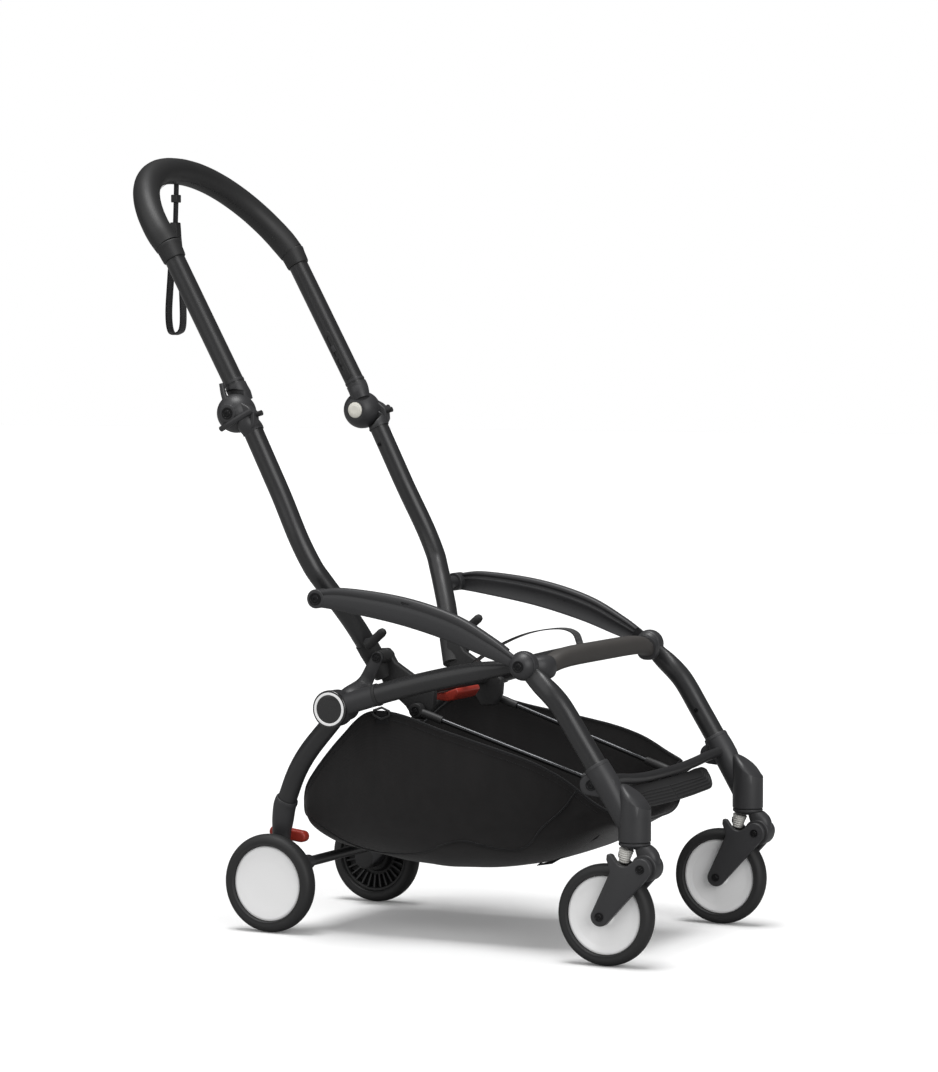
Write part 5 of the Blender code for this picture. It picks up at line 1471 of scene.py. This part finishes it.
def make_stage(stage):
    """A pale floor, soft light from above and both sides of the camera, and the camera."""
    leave()
    bpy.ops.mesh.primitive_plane_add(size=60, location=(0, 0, 0))
    floor = bpy.context.object
    floor.name = "floor"
    made, tree, shader = nodes_of("pale floor")
    shader.inputs["Base Color"].default_value = (*[FLOOR_BOUNCE] * 3, 1)
    shader.inputs["Roughness"].default_value = 0.9
    shader.inputs["Specular IOR Level"].default_value = 0.1
    seen = add(tree, "ShaderNodeLightPath")
    bright = add(tree, "ShaderNodeEmission", Strength=stage.floor_glow)
    matt = add(tree, "ShaderNodeBsdfDiffuse")
    matt.inputs["Color"].default_value = (*[stage.floor_shade] * 3, 1)
    total = add(tree, "ShaderNodeAddShader")
    pick = add(tree, "ShaderNodeMixShader")
    tree.links.new(bright.outputs[0], total.inputs[0])
    tree.links.new(matt.outputs[0], total.inputs[1])
    tree.links.new(seen.outputs["Is Camera Ray"], pick.inputs["Fac"])
    tree.links.new(shader.outputs[0], pick.inputs[1])
    tree.links.new(total.outputs[0], pick.inputs[2])
    tree.links.new(pick.outputs[0], tree.nodes["Material Output"].inputs["Surface"])
    floor.data.materials.append(made)
    world = bpy.data.worlds.new("studio")
    world.use_nodes = True
    bpy.context.scene.world = world
    tree = world.node_tree
    sky = tree.nodes["Background"]
    seen = add(tree, "ShaderNodeLightPath")
    level = add(tree, "ShaderNodeMapRange")
    level.inputs["To Min"].default_value = stage.sky
    level.inputs["To Max"].default_value = stage.sky_reflected
    tree.links.new(seen.outputs["Is Glossy Ray"], level.inputs["Value"])
    white = add(tree, "ShaderNodeMath", operation='MAXIMUM')
    tree.links.new(level.outputs["Result"], white.inputs[0])
    tree.links.new(seen.outputs["Is Camera Ray"], white.inputs[1])
    tree.links.new(white.outputs[0], sky.inputs["Strength"])
    sky.inputs["Color"].default_value = (1, 1, 1, 1)
    yaw = CAMERA_YAW
    ahead = Vector((cos(yaw), sin(yaw), 0))
    left = Vector((-sin(yaw), cos(yaw), 0))
    for name, energy, turn, source in (
            ("key", stage.key, 40, -left * 0.50 - ahead * 0.87 + Vector((0, 0, 0.40))),
            ("side", stage.side, 60, left * 0.87 - ahead * 0.50 + Vector((0, 0, 0.60))),
            ("top", stage.top, 28, left * 0.05 - ahead * 0.05 + Vector((0, 0, 1.0)))):
        leave()
        bpy.ops.object.light_add(type='SUN', location=source * 3)
        lamp = bpy.context.object
        lamp.name = name
        lamp.data.energy = energy
        lamp.data.angle = radians(turn)
        lamp.rotation_mode = 'QUATERNION'
        lamp.rotation_quaternion = source.to_track_quat('Z', 'Y')
    leave()
    bpy.ops.object.camera_add(location=CAMERA_PLACE)
    camera = bpy.context.object
    camera.data.sensor_width = 36
    camera.data.lens = CAMERA_LENS
    camera.data.clip_end = 200
    pitch = CAMERA_PITCH
    look = Vector((cos(pitch) * cos(yaw), cos(pitch) * sin(yaw), sin(pitch)))
    right = look.cross(Vector((0, 0, 1))).normalized()
    up = right.cross(look)
    turned_to = Matrix((right, up, -look)).transposed()
    camera.rotation_euler = turned_to.to_euler()
    bpy.context.scene.camera = camera
    bpy.context.scene.view_settings.view_transform = 'Standard'


# Settings, one operator for each group, and the panel

class ChassisSizes(bpy.types.PropertyGroup):
    handle_radius: FloatProperty(name="Handle tube radius", description="Radius of the handle tubes",
                                 default=0.0139, subtype='DISTANCE', unit='LENGTH')
    grip_radius: FloatProperty(name="Grip radius", description="Radius of the padded hoop",
                               default=GRIP_RADIUS, subtype='DISTANCE', unit='LENGTH')
    tube_radius: FloatProperty(name="Upright radius", description="Radius of the long uprights",
                               default=0.0136, subtype='DISTANCE', unit='LENGTH')
    tyre_width: FloatProperty(name="Tyre width", description="Width of every tyre",
                              default=0.0250, subtype='DISTANCE', unit='LENGTH')
    rear_ribs: IntProperty(name="Rear wheel ribs", description="Ribs inside each rear wheel",
                           default=28, min=3)
    creases: FloatProperty(name="Creases", description="How far the basket's cloth is creased",
                           default=0.0016, subtype='DISTANCE', unit='LENGTH')


def colour(name, words, value):
    return FloatVectorProperty(name=name, description=words, default=value, size=3, min=0, max=1,
                               subtype='COLOR')


class ChassisColours(bpy.types.PropertyGroup):
    frame: colour("Frame", "Paint of the tubes", (0.0215, 0.0215, 0.0225))
    casting: colour("Castings", "Cast and moulded joints and arms", (0.034, 0.034, 0.036))
    moulding: colour("Mouldings", "Black plastic parts", (0.0200, 0.0200, 0.0205))
    tyre: colour("Tyres", "Foam of the tyres", (0.0190, 0.0190, 0.0195))
    white: colour("Wheels", "Discs of the wheels", (0.96, 0.96, 0.96))
    red: colour("Controls", "Brake pedal and fold lever", (0.36, 0.035, 0.022))
    seat_bar: colour("Seat bar", "Soft bar across the front", (0.052, 0.048, 0.045))
    cloth: colour("Cloth", "Cloth of the basket", (0.0135, 0.0125, 0.0127))


class ChassisStage(bpy.types.PropertyGroup):
    sky: FloatProperty(name="Sky", description="Even light from all round", default=0.28, min=0)
    sky_reflected: FloatProperty(name="Sky in reflections", description="The even light as it is "
                                 "reflected, lower so that round forms read", default=0.07, min=0)
    key: FloatProperty(name="Key", description="Soft light from the right of the camera", default=1.3,
                       min=0)
    side: FloatProperty(name="Side", description="Soft light from the left of the camera", default=0.7,
                        min=0)
    top: FloatProperty(name="Top", description="Soft light from straight above", default=2.4, min=0)
    floor_glow: FloatProperty(name="Floor glow", description="Even part of the floor's brightness",
                              default=0.06, min=0)
    floor_shade: FloatProperty(name="Floor shade", description="Part of the floor that takes shadows",
                               default=0.90, min=0, max=1)


GROUPS = (
    ("handle_tubes", "Handle tubes", make_handle_tubes),
    ("grip", "Grip", make_grip),
    ("outer_knuckle", "Outer knuckles", make_outer_knuckle),
    ("inner_knuckle", "Inner knuckles", make_inner_knuckle),
    ("uprights", "Uprights", make_uprights),
    ("arms", "Arms", make_arms),
    ("links", "Links and lever", make_links),
    ("seat_rails", "Seat rails and hubs", make_seat_rails),
    ("seat_front", "Seat knuckles and bar", make_seat_front),
    ("front_legs", "Front legs", make_front_legs),
    ("front_bar", "Front bar, footrest and struts", make_front_bar),
    ("casters", "Casters and forks", make_casters),
    ("wheels", "Wheels", make_wheels),
    ("rear_legs", "Rear legs and brake", make_rear_legs),
    ("hooks", "Basket hooks", make_basket_hooks),
    ("basket", "Basket", make_basket),
    ("straps", "Straps", make_straps),
)


class MakeFinishes(bpy.types.Operator):
    """Make every finish of the chassis"""
    bl_idname = "stroller.finishes"
    bl_label = "Finishes"

    def execute(self, context):
        make_materials(context.scene.stroller_colours)
        return {'FINISHED'}


def operator_for(key, label, make):
    """An operator class that makes one group of pieces."""
    def execute(self, context):
        make(context.scene.stroller_sizes)
        return {'FINISHED'}
    return type("Make_" + key, (bpy.types.Operator,), {
        "__doc__": make.__doc__, "bl_idname": "stroller." + key, "bl_label": label,
        "execute": execute})


class MakeStage(bpy.types.Operator):
    """Make the floor, the lights and the camera"""
    bl_idname = "stroller.stage"
    bl_label = "Stage"

    def execute(self, context):
        make_stage(context.scene.stroller_stage)
        return {'FINISHED'}


OPERATORS = [MakeFinishes, *[operator_for(*group) for group in GROUPS], MakeStage]


class ChassisPanel(bpy.types.Panel):
    """Sizes, colours and the steps that model the chassis"""
    bl_idname = "VIEW3D_PT_stroller"
    bl_label = "Stroller chassis"
    bl_space_type = 'VIEW_3D'
    bl_region_type = 'UI'
    bl_category = "Stroller"

    def draw(self, context):
        scene = context.scene
        for settings in (scene.stroller_sizes, scene.stroller_colours, scene.stroller_stage):
            box = self.layout.box()
            for key in settings.__annotations__:
                box.prop(settings, key)
        for made in OPERATORS:
            self.layout.operator(made.bl_idname)


CLASSES = [ChassisSizes, ChassisColours, ChassisStage, *OPERATORS, ChassisPanel]


def register():
    for made in CLASSES:
        bpy.utils.register_class(made)
    bpy.types.Scene.stroller_sizes = PointerProperty(type=ChassisSizes)
    bpy.types.Scene.stroller_colours = PointerProperty(type=ChassisColours)
    bpy.types.Scene.stroller_stage = PointerProperty(type=ChassisStage)


def unregister():
    del bpy.types.Scene.stroller_sizes
    del bpy.types.Scene.stroller_colours
    del bpy.types.Scene.stroller_stage
    for made in reversed(CLASSES):
        bpy.utils.unregister_class(made)


def main():
    register()
    for made in OPERATORS:
        group, key = made.bl_idname.split(".")
        getattr(getattr(bpy.ops, group), key)()


if __name__ == "__main__":
    main()
